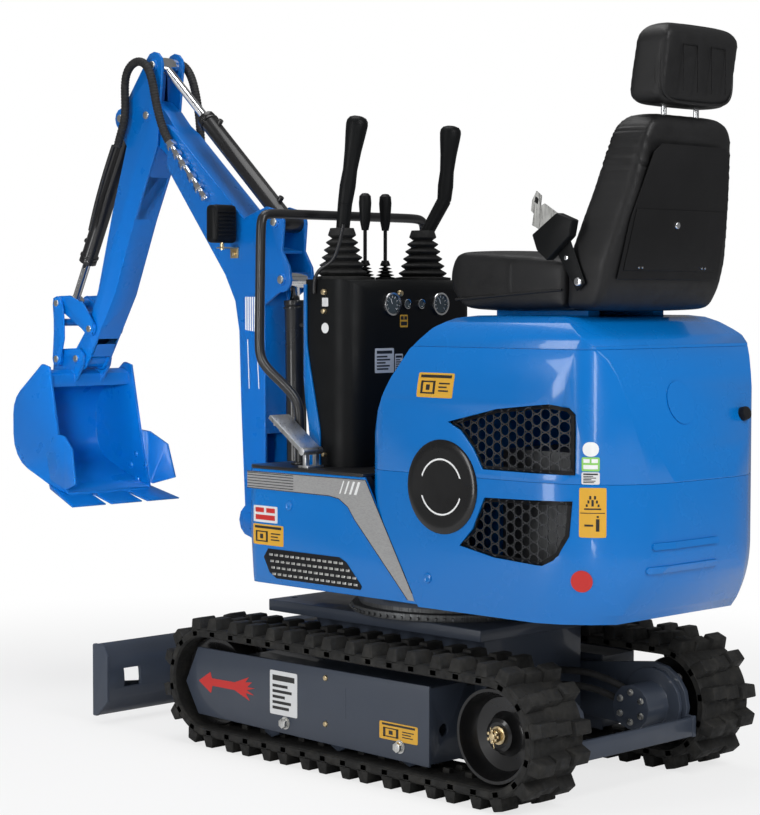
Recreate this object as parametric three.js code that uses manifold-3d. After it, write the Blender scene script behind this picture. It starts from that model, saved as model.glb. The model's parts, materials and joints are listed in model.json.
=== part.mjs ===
// Mini excavator on rubber tracks: an open operator's station, a fixed boom bracket,
// a boom, an arm and a toothed bucket, and a dozer blade in front of the tracks.
//
// Millimetres. +X is forward, +Y is the operator's left and +Z is up. Every size below is
// written in the machine's own frame: x = 0, y = 0 is the slew axis and z = 0 the ground.
// The exported group moves that frame so that its origin is the middle of the whole box.
import * as THREE from "three";
import { mergeVertices } from "three/addons/utils/BufferGeometryUtils.js";
import Module from "manifold-3d";

const wasm = await Module();
wasm.setup();

// ---------------------------------------------------------------- driving dimensions

// Fits
const gap = 0.3; // between pieces that touch
const pinHeadRadius = 17;
const pinHeadHeight = 5;

// Tracks
const overallWidth = 810;
const trackWidth = 180;
const wheelBase = 972;
const bandRadius = 139.5; // outside of the band where it turns round a wheel, lugs left out
const bandThickness = 24;
const lugHeight = 28.5;
const lugFoot = 44; // length of a lug where it leaves the band
const lugCrown = 30; // length of a lug at its tip
const shoeCount = 40;
const wheelSides = 24;

// Track frames, rollers, idlers, sprockets and travel motors
const frameInset = 25; // from the track's edge to the frame's wall
const frameWall = 8;
const frameRise = 88; // above the axles
const frameDrop = 96; // below the axles
const noseReach = 98; // of the frame's tip past the idler's axle
const frameStart = 196; // from the sprocket's axle to the frame's rear plate
const rollerRadius = 36;
const rollerPlaces = [-210, 30, 270];
const motorPlateRadius = 100;
const motorPlateThickness = 14;
const motorFlangeRadius = 88;
const motorBodyRadius = 55;
const motorBodyLength = 78;
const motorHubRadius = 46;
const sprocketTeeth = 18;
const toothDepth = 11;

// Centre frame and slew ring
const bodyHalfWidth = 180;
const bodyFront = 300;
const bodyRear = -280;
const bodyBottom = 130;
const topPlateBottom = 340;
const topPlateThickness = 30;
const topPlateHalfWidth = 215;
const topPlateFront = 445;
const topPlateRear = -300;
const slewRingRadius = 250;
const slewRingBore = 150;
const slewRingHeight = 30;

// Blade
const bladePivot = [430, 170];
const bladeCentre = [1006, 118]; // centre of the blade's curve
const bladeCurve = 122; // radius of its rear face
const bladeThickness = 10;
const bladeHalfAngle = 54; // degrees above and below the middle
const bladeArmY = 150;
const bladeArmThickness = 16;
const bladeRamBase = [400, 290];
const bladeRamTip = [740, 215];

// House: revolving deck, side panels, floor
const turntableRadius = 236;
const deckBottom = 433;
const deckThickness = 12;
const houseHalfWidth = 330;
const houseFront = 400;
const houseRear = -785;
const houseRearCorner = 220;
const houseFrontCorner = 60;
const panelWall = 8;
const panelTop = 722;
const floorThickness = 8;
const seamFoot = -203; // x of the slanted seam between panel and hood, at the deck's underside
const seamLean = 0.615;

// Hood, vents and badge
const hoodWall = 8;
const hoodBottom = 428;
const hoodSeam = 743;
const lidSeam = 1040;
const hoodTop = 1113;
const hoodFront = -20;
const grilleThickness = 5;
const badgeRadius = 110;
const badgeThickness = 6;
const badgeCentre = [-283, 716];

// Seat
const seatTilt = [-150, 1052]; // axis on which seat and lid tip forward
const seatRailHeight = 12;
const cushionHalfWidth = 215;
const cushionTop = 1268;
const headrestHalfWidth = 137;

// Console, rail and controls
const consoleRear = 123;
const consoleFront = 310;
const consoleTop = 1200;
const consoleHalfWidth = 233;
const consoleWall = 6;
const cowlWall = 6;
const railRadius = 12.5;
const railX = 378;
const railY = 300;
const railTop = 1368;
const railFoot = [300, 237];
const leverX = 239;
const leverY = 148;
const smallLeverX = 268;
const smallLeverY = 37;

// Boom, its bracket and its cylinder
const boomFoot = [690, 545];
const boomTip = [1150, 1675]; // pivot of the arm
const boomOuterY = 45;
const boomPlate = 8;
const boomRamBase = [565, 585];
const boomRamTip = [577, 1202];
const armRamBase = [605, 1357];
const bracketInnerY = 47;
const bracketPlate = 15;
const boomTongueY = 32;
const boomBoxEnd = 1060; // x where the full-width box stops short of the arm's cheeks

// Arm, linkage and bucket
const armOuterY = 42;
const armPlate = 8;
const armRamTip = [1121, 1816];
const bucketRamBase = [1270, 1673];
const bucketRamTip = [1555, 1137];
const guidePivot = [1412, 1061];
const bucketPivot = [1475, 971];
const linkPivot = [1557, 969];
const guidePlate = 8;
const guideInnerY = 44;
const linkPlate = 8;
const linkInnerY = 56;
const earPlate = 10;
const bucketHalfWidth = 158;
const bucketWall = 8;
const bucketBack = 1656;
const toothReach = 1308; // x of the tooth tips
const toothSpread = 202;

// ---------------------------------------------------------------- sizes that follow

const axleHeight = bandRadius + lugHeight;
const trackOuterY = overallWidth / 2;
const trackInnerY = trackOuterY - trackWidth;
const bandInnerRadius = bandRadius - bandThickness;
const wheelRadius = bandInnerRadius * Math.cos(Math.PI / wheelSides) - gap;
const idlerX = wheelBase / 2;
const sprocketX = -wheelBase / 2;
const frameOuterY = trackOuterY - frameInset;
const frameInnerY = trackInnerY + frameInset;
const frameRear = sprocketX + frameStart;
const motorPlateY = trackInnerY - 3; // outboard face of the motor's plate
const topPlateTop = topPlateBottom + topPlateThickness;
const deckTop = deckBottom + deckThickness;
const floorBottom = panelTop + gap;
const floorTop = floorBottom + floorThickness;
const boomInnerY = boomOuterY - boomPlate;
const armInnerY = armOuterY - armPlate;
const bracketOuterY = bracketInnerY + bracketPlate;
const guideOuterY = guideInnerY + guidePlate;
const linkOuterY = linkInnerY + linkPlate;
const earOuterY = guideInnerY + earPlate;

// ---------------------------------------------------------------- materials

function finish(color, roughness, metalness = 0) {
  return new THREE.MeshStandardMaterial({ color, roughness, metalness });
}

const hoodBlue = finish(0x1e7ad6, 0.25);
const boomBlue = finish(0x0e68be, 0.35);
const chassisGrey = finish(0x4d5967, 0.5);
const trackRubber = finish(0x17171a, 0.85);
const gripRubber = finish(0x1c1c1e, 0.7);
const castBlack = finish(0x141416, 0.4);
const consoleBlack = finish(0x1b1b1d, 0.6);
const grilleBlack = finish(0x2a2c2f, 0.5);
const barrelBlack = finish(0x101012, 0.35);
const chrome = finish(0xd8dadd, 0.12, 1);
const zinc = finish(0xb9bbb8, 0.35, 1);
const steel = finish(0x8b8f94, 0.4, 1);
const seatLeather = finish(0x161617, 0.5);
const engineIron = finish(0x55585c, 0.6, 0.6);

// ---------------------------------------------------------------- shape tools

function toSolid(geometry) {
  geometry.deleteAttribute("normal");
  geometry.deleteAttribute("uv");
  const merged = mergeVertices(geometry, 1e-4);
  const vertProperties = merged.attributes.position.array;
  const triVerts = new Uint32Array(merged.index.array);
  return new wasm.Manifold(new wasm.Mesh({ numProp: 3, vertProperties, triVerts }));
}

function toGeometry(solid) {
  const { vertProperties, triVerts } = solid.getMesh();
  const geometry = new THREE.BufferGeometry();
  geometry.setAttribute("position", new THREE.BufferAttribute(vertProperties, 3));
  geometry.setIndex(new THREE.BufferAttribute(triVerts, 1));
  return geometry;
}

function join(first, ...others) {
  return others.reduce((sum, solid) => sum.add(solid), first);
}

function cut(first, ...others) {
  return others.reduce((rest, solid) => rest.subtract(solid), first);
}

// Corners are [u, v] or [u, v, radius]; a corner with a radius becomes an arc.
function roundCorners(corners) {
  const arcStep = Math.PI / 9;
  return corners.flatMap(([u, v, radius = 0], i) => {
    const corner = new THREE.Vector2(u, v);
    if (radius === 0) return [corner];
    const [previousU, previousV] = corners.at(i - 1);
    const [nextU, nextV] = corners[(i + 1) % corners.length];
    const back = new THREE.Vector2(previousU, previousV).sub(corner).normalize();
    const ahead = new THREE.Vector2(nextU, nextV).sub(corner).normalize();
    const half = Math.acos(THREE.MathUtils.clamp(back.dot(ahead), -1, 1)) / 2;
    const centre = back.clone().add(ahead).setLength(radius / Math.sin(half)).add(corner);
    const start = back.clone().setLength(radius / Math.tan(half)).add(corner);
    const turn = (Math.PI - 2 * half) * -Math.sign(back.cross(ahead));
    const steps = Math.max(2, Math.ceil(Math.abs(turn) / arcStep));
    return Array.from({ length: steps + 1 }, (_, step) =>
      start.clone().rotateAround(centre, (turn * step) / steps));
  });
}

// The same outline with every edge moved inward, or outward for a negative distance.
function inset(corners, distance) {
  const area = corners.reduce((sum, [u, v], i) => {
    const [nextU, nextV] = corners[(i + 1) % corners.length];
    return sum + u * nextV - nextU * v;
  }, 0);
  const inward = Math.sign(area) * distance;
  const convexTurn = Math.sign(area);
  return corners.map(([u, v, radius = 0], i) => {
    const [previousU, previousV] = corners.at(i - 1);
    const [nextU, nextV] = corners[(i + 1) % corners.length];
    const arriving = new THREE.Vector2(u - previousU, v - previousV).normalize();
    const leaving = new THREE.Vector2(nextU - u, nextV - v).normalize();
    const scale = inward / (1 + arriving.dot(leaving));
    const moved = [
      u - (arriving.y + leaving.y) * scale,
      v + (arriving.x + leaving.x) * scale,
    ];
    const turning = Math.sign(arriving.cross(leaving)) * convexTurn;
    return radius === 0 ? moved : [...moved, Math.max(1, radius - turning * distance)];
  });
}

function arcPoints(centreU, centreV, radius, startAngle, endAngle, steps) {
  return Array.from({ length: steps + 1 }, (_, step) => {
    const angle = startAngle + ((endAngle - startAngle) * step) / steps;
    return [centreU + radius * Math.cos(angle), centreV + radius * Math.sin(angle)];
  });
}

const axes = {
  x: new THREE.Vector3(1, 0, 0),
  y: new THREE.Vector3(0, 1, 0),
  z: new THREE.Vector3(0, 0, 1),
};

function extrude(corners, depth, basis, hole) {
  const shape = new THREE.Shape(roundCorners(corners));
  if (hole) shape.holes.push(new THREE.Path(roundCorners(hole)));
  return new THREE.ExtrudeGeometry(shape, { depth, bevelEnabled: false }).applyMatrix4(basis);
}

// An outline in X and Z, as thick as from one y to the other.
function sidePlate(corners, yA, yB, hole) {
  const basis = new THREE.Matrix4().makeBasis(axes.x, axes.z, axes.y.clone().negate());
  return toSolid(extrude(corners, Math.abs(yB - yA), basis, hole).translate(0, Math.max(yA, yB), 0));
}

// An outline in X and Y, as thick as from one z to the other.
function planPlate(corners, zA, zB) {
  const basis = new THREE.Matrix4().makeBasis(axes.x, axes.y, axes.z);
  return toSolid(extrude(corners, zB - zA, basis).translate(0, 0, zA));
}

// An outline in Y and Z, as thick as from one x to the other.
function frontPlate(corners, xA, xB) {
  const basis = new THREE.Matrix4().makeBasis(axes.y, axes.z, axes.x);
  return toSolid(extrude(corners, xB - xA, basis).translate(xA, 0, 0));
}

function block(xA, xB, yA, yB, zA, zB) {
  const geometry = new THREE.BoxGeometry(xB - xA, Math.abs(yB - yA), zB - zA);
  return toSolid(geometry.translate((xA + xB) / 2, (yA + yB) / 2, (zA + zB) / 2));
}

// A round bar from one point to another, with its own radius at each end.
function bar(from, to, startRadius, endRadius = startRadius, sides = 12) {
  const start = new THREE.Vector3(...from);
  const along = new THREE.Vector3(...to).sub(start);
  const geometry = new THREE.CylinderGeometry(endRadius, startRadius, along.length(), sides);
  const turn = new THREE.Quaternion().setFromUnitVectors(axes.y, along.clone().normalize());
  return toSolid(geometry.applyQuaternion(turn).translate(...along.multiplyScalar(0.5).add(start)));
}

// A round piece whose axis lies across the machine.
function crossBar([x, z], radius, yA, yB, sides = 12) {
  return bar([x, Math.min(yA, yB), z], [x, Math.max(yA, yB), z], radius, radius, sides);
}

// A turned piece about an axis across the machine; its profile is [radius, y].
function turnedAcross([x, z], profile, sides = wheelSides) {
  const points = profile.map(([radius, y]) => new THREE.Vector2(radius, y));
  const rising = profile.at(-1)[1] > profile[0][1];
  const geometry = new THREE.LatheGeometry(rising ? points : points.reverse(), sides);
  return toSolid(geometry.translate(x, 0, z));
}

// A turned piece about an upright axis; its profile is [radius, z], from the bottom up.
function turnedUpright(x, y, profile, sides = 24) {
  const points = profile.map(([radius, z]) => new THREE.Vector2(radius, z));
  const geometry = new THREE.LatheGeometry(points, sides);
  return toSolid(geometry.rotateX(Math.PI / 2).translate(x, y, 0));
}

// A tube through points whose corners are rounded by the bend.
function bentTube(points, radius, bend, steps, sides = 12) {
  const places = points.map((point) => new THREE.Vector3(...point));
  const path = new THREE.CurvePath();
  let from = places[0];
  for (let i = 1; i < places.length - 1; i += 1) {
    const corner = places[i];
    const before = places[i - 1].clone().sub(corner).setLength(bend).add(corner);
    const after = places[i + 1].clone().sub(corner).setLength(bend).add(corner);
    path.add(new THREE.LineCurve3(from, before));
    path.add(new THREE.QuadraticBezierCurve3(before, corner, after));
    from = after;
  }
  path.add(new THREE.LineCurve3(from, places.at(-1)));
  const ring = arcPoints(0, 0, radius, 0, 2 * Math.PI * (1 - 1 / sides), sides - 1);
  const shape = new THREE.Shape(ring.map(([u, v]) => new THREE.Vector2(u, v)));
  return toSolid(new THREE.ExtrudeGeometry(shape, { steps, extrudePath: path }));
}

function at([x, z], y) {
  return [x, y, z];
}

// Pin heads on the outer faces of a pair of plates.
function pinHeads(place, faceY, radius = pinHeadRadius) {
  return [-1, 1].map((side) =>
    crossBar(place, radius, side * (faceY - 1), side * (faceY + pinHeadHeight), 8));
}

// A pair of equal side plates, an outline with a disc round each pin.
function platePair(corners, discs, innerY, outerY) {
  return [-1, 1].map((side) => join(
    sidePlate(corners, side * innerY, side * outerY),
    ...discs.map(([place, radius]) => crossBar(place, radius, side * innerY, side * outerY)),
  ));
}

// A hydraulic cylinder between two pins: its barrel has the base eye and a blind bore, its
// rod reaches far enough into the bore for the whole stroke.
function ram({ base, tip, barrelRadius, rodRadius, barrelLength, retract, baseEye, tipEye }) {
  const from = new THREE.Vector3(...at(base, 0));
  const along = new THREE.Vector3(...at(tip, 0)).sub(from);
  const length = along.length();
  along.normalize();
  const point = (distance) => along.clone().multiplyScalar(distance).add(from).toArray();
  const boreBottom = baseEye.radius + 20;
  const gland = barrelRadius * 0.5;
  const barrel = cut(
    join(
      bar(point(0), point(barrelLength), barrelRadius),
      bar(point(barrelLength - gland), point(barrelLength), barrelRadius + 2),
      crossBar(base, baseEye.radius, -baseEye.halfWidth, baseEye.halfWidth),
    ),
    bar(point(boreBottom), point(barrelLength + 10), rodRadius + gap, rodRadius + gap, 16),
  );
  const rod = join(
    bar(point(boreBottom + retract), point(length), rodRadius, rodRadius, 16),
    crossBar(tip, tipEye.radius, -tipEye.halfWidth, tipEye.halfWidth),
  );
  return { barrel, rod };
}

// ---------------------------------------------------------------- scene tools

const machine = new THREE.Group();
machine.userData.origin = new THREE.Vector3();

// A group whose own origin is the joint that it turns on.
function jointGroup(parent, [x, y, z]) {
  const group = new THREE.Group();
  group.userData.origin = new THREE.Vector3(x, y, z);
  group.position.copy(group.userData.origin).sub(parent.userData.origin);
  parent.add(group);
  return group;
}

function addPiece(group, name, solid, material) {
  const { x, y, z } = group.userData.origin;
  const mesh = new THREE.Mesh(toGeometry(solid).translate(-x, -y, -z), material);
  mesh.name = name;
  group.add(mesh);
}

const sides = [["left", 1], ["right", -1]];

// ---------------------------------------------------------------- tracks and track frames

// A point on the track's loop, counted along the band from below the sprocket.
function loopPoint(distance, height) {
  const turnLength = Math.PI * bandRadius;
  const loopLength = 2 * (wheelBase + turnLength);
  const place = ((distance % loopLength) + loopLength) % loopLength;
  const radius = bandRadius + height;
  if (place < wheelBase) return [sprocketX + place, axleHeight - radius];
  if (place < wheelBase + turnLength) {
    const angle = (place - wheelBase) / bandRadius - Math.PI / 2;
    return [idlerX + radius * Math.cos(angle), axleHeight + radius * Math.sin(angle)];
  }
  if (place < 2 * wheelBase + turnLength) {
    return [idlerX - (place - wheelBase - turnLength), axleHeight + radius];
  }
  const angle = (place - 2 * wheelBase - turnLength) / bandRadius + Math.PI / 2;
  return [sprocketX + radius * Math.cos(angle), axleHeight + radius * Math.sin(angle)];
}

function track(side) {
  const loopLength = 2 * (wheelBase + Math.PI * bandRadius);
  const pitch = loopLength / shoeCount;
  const outer = Array.from({ length: shoeCount }, (_, i) => {
    const middle = (i + 0.5) * pitch;
    return [
      loopPoint(middle - lugFoot / 2, 0),
      loopPoint(middle - lugCrown / 2, lugHeight),
      loopPoint(middle + lugCrown / 2, lugHeight),
      loopPoint(middle + lugFoot / 2, 0),
    ];
  }).flat();
  const quarter = Math.PI / 2;
  const halfTurn = wheelSides / 2;
  const inner = [
    ...arcPoints(idlerX, axleHeight, bandInnerRadius, -quarter, quarter, halfTurn),
    ...arcPoints(sprocketX, axleHeight, bandInnerRadius, quarter, 3 * quarter, halfTurn),
  ];
  return sidePlate(outer, side * trackInnerY, side * trackOuterY, inner);
}

function trackFrame(side) {
  const top = axleHeight + frameRise;
  const bottom = axleHeight - frameDrop;
  const wall = [
    [frameRear, bottom - 6],
    [idlerX + noseReach / 2, bottom + 6],
    [idlerX + noseReach, axleHeight - 11],
    [idlerX + noseReach / 2, top - 4],
    [frameRear, top],
  ];
  const channelEnd = idlerX - wheelRadius - 12;
  const motorPlateInner = motorPlateY - motorPlateThickness;
  const tongue = [
    [sprocketX, axleHeight - 70],
    [frameRear + 50, axleHeight - 58],
    [frameRear + 50, axleHeight + 72],
    [sprocketX, axleHeight + motorPlateRadius],
  ];
  const rearTab = sprocketX - motorPlateRadius - 18;
  return cut(
    join(
      sidePlate(wall, side * (frameOuterY - frameWall), side * frameOuterY),
      sidePlate(wall, side * frameInnerY, side * (frameInnerY + frameWall)),
      block(frameRear, channelEnd, side * frameInnerY, side * frameOuterY, top - frameWall - 4, top - 4),
      block(frameRear, frameRear + frameWall, side * frameInnerY, side * frameOuterY, bottom, top - 4),
      sidePlate(tongue, side * motorPlateInner, side * motorPlateY),
      crossBar([sprocketX, axleHeight], motorPlateRadius, side * motorPlateInner, side * motorPlateY, 16),
      block(rearTab, sprocketX, side * motorPlateInner, side * motorPlateY, 99, 150),
      block(frameRear, frameRear + 50, side * motorPlateInner, side * (frameInnerY + 2),
        axleHeight - 58, axleHeight + 72),
      ...rollerPlaces.map((x) => trackRoller(side, x)),
    ),
    crossBar([sprocketX, axleHeight], motorHubRadius + 2, side * (motorPlateInner - 5), side * (motorPlateY + 5), 16),
    bar([frameRear - 5, side * (frameOuterY - 50), axleHeight - 20],
      [frameRear + frameWall + 5, side * (frameOuterY - 50), axleHeight - 20], 15),
  );
}

// Distances out from the track frame's middle, for the wheels that it carries.
function idler(side) {
  const middle = side * (frameInnerY + frameOuterY) / 2;
  const hub = (frameOuterY - frameInnerY) / 2 - frameWall - gap;
  return turnedAcross([idlerX, axleHeight], [
    [0, middle - hub],
    [34, middle - hub],
    [wheelRadius - 20, middle - hub + 16],
    [wheelRadius, middle - hub + 10],
    [wheelRadius, middle + hub - 10],
    [wheelRadius - 20, middle + hub - 16],
    [34, middle + hub],
    [0, middle + hub],
  ]);
}

function trackRoller(side, x) {
  const middle = side * (frameInnerY + frameOuterY) / 2;
  const hub = (frameOuterY - frameInnerY) / 2 - frameWall + 1;
  const height = axleHeight - bandInnerRadius + rollerRadius + gap;
  return turnedAcross([x, height], [
    [0, middle - hub],
    [14, middle - hub],
    [rollerRadius, middle - hub + 9],
    [rollerRadius, middle - 16],
    [rollerRadius - 12, middle - 12],
    [rollerRadius - 12, middle + 12],
    [rollerRadius, middle + 16],
    [rollerRadius, middle + hub - 9],
    [14, middle + hub],
    [0, middle + hub],
  ], 8);
}

// The sprocket's hub meets the travel motor inboard and carries a nut outboard.
const sprocketInnerY = trackInnerY + 61;

function sprocketPoint(radius, angle) {
  return [sprocketX + radius * Math.cos(angle), axleHeight + radius * Math.sin(angle)];
}

function sprocket(side) {
  const root = wheelRadius - toothDepth;
  const rim = trackOuterY - 29;
  const disc = turnedAcross([sprocketX, axleHeight], [
    [0, side * sprocketInnerY],
    [root, side * sprocketInnerY],
    [root, side * rim],
    [root - 8, side * rim],
    [root - 16, side * (rim - 24)],
    [42, side * (rim - 32)],
    [32, side * (rim - 8)],
    [15, side * (rim - 8)],
    [15, side * (rim + 10)],
    [0, side * (rim + 10)],
  ], 18);
  const pitch = (2 * Math.PI) / sprocketTeeth;
  const teeth = Array.from({ length: sprocketTeeth }, (_, i) => [
    sprocketPoint(root - 2, (i - 0.3) * pitch),
    sprocketPoint(wheelRadius, (i - 0.16) * pitch),
    sprocketPoint(wheelRadius, (i + 0.16) * pitch),
    sprocketPoint(root - 2, (i + 0.3) * pitch),
  ]).flat();
  return join(disc, sidePlate(teeth, side * (sprocketInnerY + 12), side * (rim - 14)));
}

function travelMotor(side) {
  const flangeOuter = motorPlateY - motorPlateThickness - gap;
  const flangeInner = flangeOuter - 12;
  const axle = [sprocketX, axleHeight];
  return join(
    crossBar(axle, motorHubRadius, side * flangeInner, side * (sprocketInnerY - gap), 16),
    crossBar(axle, motorFlangeRadius, side * flangeInner, side * flangeOuter, 16),
    crossBar(axle, motorBodyRadius, side * (flangeInner - motorBodyLength), side * (flangeInner + 2)),
  );
}

// ---------------------------------------------------------------- centre frame and blade

function centreFrame() {
  const bladeEar = bladeArmY + bladeArmThickness + 2;
  const earFront = [
    [bodyFront - 20, bladePivot[1] - 35],
    [bladePivot[0], bladePivot[1] - 28],
    [bladePivot[0], bladePivot[1] + 28],
    [bodyFront - 20, bladePivot[1] + 80],
  ];
  const ramEar = [
    [bodyFront - 20, 230],
    [bladeRamBase[0], bladeRamBase[1] - 26],
    [bladeRamBase[0] + 26, bladeRamBase[1]],
    [bladeRamBase[0] + 26, topPlateBottom + 2],
    [bodyFront - 20, topPlateBottom + 2],
  ];
  const beamReach = frameInnerY - gap;
  const boltHoles = [-150, 150].map((y) => bar([topPlateFront - 30, y, topPlateBottom - 5],
    [topPlateFront - 30, y, topPlateTop + 5], 9, 9, 12));
  return cut(
    join(
      block(bodyRear, bodyFront, -bodyHalfWidth, bodyHalfWidth, bodyBottom, topPlateBottom + 2),
      block(topPlateRear, topPlateFront, -topPlateHalfWidth, topPlateHalfWidth, topPlateBottom, topPlateTop),
      block(150, 230, -beamReach, beamReach, axleHeight - 30, axleHeight + 70),
      block(-230, -150, -beamReach, beamReach, axleHeight - 30, axleHeight + 70),
      ...platePair(earFront, [[bladePivot, 28]], bladeEar, bladeEar + 12),
      ...pinHeads(bladePivot, bladeEar + 12),
      ...platePair(ramEar, [[bladeRamBase, 26]], 30, 42),
      ...pinHeads(bladeRamBase, 42, 12),
    ),
    ...boltHoles,
  );
}

function slewRing() {
  const top = topPlateTop + gap + slewRingHeight;
  return cut(
    join(
      bar([0, 0, topPlateTop + gap], [0, 0, top - 12], slewRingRadius, slewRingRadius, 24),
      bar([0, 0, top - 14], [0, 0, top], slewRingRadius - 22, slewRingRadius - 22, 24),
    ),
    bar([0, 0, topPlateTop - 5], [0, 0, top + 5], slewRingBore, slewRingBore, 20),
  );
}

function dozerBlade() {
  const [centreX, centreZ] = bladeCentre;
  const spread = THREE.MathUtils.degToRad(bladeHalfAngle);
  const inner = bladeCurve - bladeThickness;
  const sheet = [
    ...arcPoints(centreX, centreZ, bladeCurve, Math.PI - spread, Math.PI + spread, 10),
    ...arcPoints(centreX, centreZ, inner, Math.PI + spread, Math.PI - spread, 10),
  ];
  const halfHeight = bladeCurve * Math.sin(spread);
  const rear = centreX - bladeCurve;
  const endPlate = [
    [rear, centreZ - halfHeight * 0.55, 10],
    [centreX - 74, centreZ - halfHeight, 4],
    [centreX - 58, centreZ - halfHeight, 4],
    [centreX - 58, centreZ + halfHeight, 8],
    [rear + 18, centreZ + halfHeight, 12],
    [rear, centreZ + halfHeight * 0.7, 10],
  ];
  const armEnd = rear + 14;
  const arm = [
    [bladePivot[0], bladePivot[1] - 28],
    [bladePivot[0] + 170, bladePivot[1] - 62],
    [armEnd, centreZ - 50],
    [armEnd, centreZ + 60],
    [bladePivot[0] + 170, bladePivot[1] + 22],
    [bladePivot[0], bladePivot[1] + 28],
  ];
  const armOuter = bladeArmY + bladeArmThickness;
  const crossBeam = block(bladeRamTip[0] - 28, bladeRamTip[0] + 28, -bladeArmY - 4, bladeArmY + 4,
    bladeRamTip[1] - 92, bladeRamTip[1] - 40);
  const ramEar = [
    [bladeRamTip[0] - 26, bladeRamTip[1] - 50],
    [bladeRamTip[0] + 26, bladeRamTip[1] - 50],
    [bladeRamTip[0] + 22, bladeRamTip[1]],
    [bladeRamTip[0] - 22, bladeRamTip[1]],
  ];
  const windows = [-1, 1].map((side) => block(rear - 5, centreX, side * (trackOuterY - 115),
    side * (trackOuterY - 60), centreZ - 20, centreZ + 30));
  return cut(
    join(
      sidePlate(sheet, -trackOuterY, trackOuterY),
      ...platePair(endPlate, [], trackOuterY - 8, trackOuterY),
      ...platePair(arm, [[bladePivot, 28]], bladeArmY, armOuter),
      ...[-1, 1].map((side) => crossBar(bladePivot, 24, side * (armOuter - 1), side * (armOuter + 2 - gap))),
      crossBeam,
      ...platePair(ramEar, [[bladeRamTip, 22]], 22, 32),
      ...pinHeads(bladeRamTip, 32, 11),
    ),
    ...windows,
  );
}

// ---------------------------------------------------------------- house

// The whole outline of the house in plan, from the front panel to the hood's rounded rear.
const housePlan = [
  [houseRear, -houseHalfWidth, houseRearCorner],
  [houseFront + 20, -houseHalfWidth, houseFrontCorner],
  [houseFront + 20, houseHalfWidth, houseFrontCorner],
  [houseRear, houseHalfWidth, houseRearCorner],
];

// The front of the house seen from the side: it bulges below the floor and tucks in at the deck.
const houseSide = [
  [houseRear - 50, deckBottom - 60],
  [houseFront - 28, deckBottom - 60],
  [houseFront - 24, deckBottom],
  [houseFront + 12, panelTop - 97, 90],
  [houseFront, panelTop + 60],
  [houseRear - 50, panelTop + 60],
];

function houseBlock(wall) {
  const plan = planPlate(inset(housePlan, wall), deckBottom - 50, panelTop + 50);
  return plan.intersect(sidePlate(inset(houseSide, wall), -houseHalfWidth - 5, houseHalfWidth + 5));
}

function seamX(z) {
  return seamFoot + (z - deckBottom) * seamLean;
}

// Everything in front of the slanted seam and below a height.
function aheadOfSeam(clearance, top) {
  const bottom = deckBottom - 60;
  const corners = [
    [seamX(bottom) + clearance, bottom],
    [houseFront + 60, bottom],
    [houseFront + 60, top],
    [seamX(top) + clearance, top],
  ];
  return sidePlate(corners, -houseHalfWidth - 10, houseHalfWidth + 10);
}

function sidePanel(side) {
  const shell = houseBlock(0).subtract(houseBlock(panelWall));
  const half = block(-400, houseFront + 60, side * (bracketOuterY + 5), side * (houseHalfWidth + 10),
    deckBottom, panelTop);
  return shell.intersect(aheadOfSeam(gap, panelTop + 20)).intersect(half);
}

function revolvingDeck() {
  const slab = block(houseRear, houseFront, -houseHalfWidth, houseHalfWidth, deckBottom, deckTop);
  const turntableBottom = topPlateTop + slewRingHeight + 2 * gap;
  const insideHood = join(hoodBlock(hoodWall + gap), aheadOfSeam(-200, panelTop));
  return cut(
    join(
      houseBlock(panelWall + gap).intersect(slab).intersect(insideHood),
      bar([0, 0, turntableBottom], [0, 0, deckBottom + 2], turntableRadius, turntableRadius, 24),
    ),
    bar([0, 0, turntableBottom - 5], [0, 0, deckTop + 5], slewRingBore - 40, slewRingBore - 40, 24),
  );
}

function floorPlate() {
  const rear = seamX(floorTop + gap) + gap;
  const slab = block(rear, houseFront + 60, -houseHalfWidth, houseHalfWidth, floorBottom, floorTop);
  return houseBlock(0).intersect(slab);
}

function boomBracket() {
  const base = deckTop + gap;
  const [footX, footZ] = boomFoot;
  const [ramX, ramZ] = boomRamBase;
  const ear = [
    [120, base],
    [ramX - 20, base],
    [footX, footZ - 45],
    [footX, footZ + 45],
    [ramX, ramZ + 38],
    [440, panelTop - 40],
    [330, panelTop - 40],
    [120, base + 40],
  ];
  const web = block(408, 424, -bracketInnerY - 2, bracketInnerY + 2, base, panelTop - 60);
  return join(
    ...platePair(ear, [[boomFoot, 45], [boomRamBase, 38]], bracketInnerY, bracketOuterY),
    block(120, 424, -bracketInnerY - 2, bracketInnerY + 2, base, base + 14),
    web,
    ...pinHeads(boomFoot, bracketOuterY, 24),
    ...pinHeads(boomRamBase, bracketOuterY),
  );
}

// ---------------------------------------------------------------- hood

const hoodPlan = [
  [houseRear, -houseHalfWidth, houseRearCorner],
  [hoodFront, -houseHalfWidth, 70],
  [hoodFront, houseHalfWidth, 70],
  [houseRear, houseHalfWidth, houseRearCorner],
];

// Side view: the front slopes back to the seat, the rear tucks in under the lower edge.
const hoodSide = [
  [hoodFront, hoodBottom - 60],
  [hoodFront, hoodSeam],
  [hoodFront - 45, hoodSeam + 140, 400],
  [hoodFront - 125, lidSeam, 300],
  [hoodFront - 240, hoodTop, 160],
  [houseRear + 190, hoodTop, 120],
  [houseRear + 68, lidSeam, 150],
  [houseRear, hoodSeam + 60, 400],
  [houseRear, hoodSeam - 190, 200],
  [houseRear + 75, hoodBottom - 60],
];

// Rear view: upright sides, rounded over at the top.
const hoodCross = [
  [-houseHalfWidth, hoodBottom - 60],
  [houseHalfWidth, hoodBottom - 60],
  [houseHalfWidth, lidSeam - 110, 200],
  [houseHalfWidth - 40, hoodTop, 70],
  [-houseHalfWidth + 40, hoodTop, 70],
  [-houseHalfWidth, lidSeam - 110, 200],
];

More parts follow.
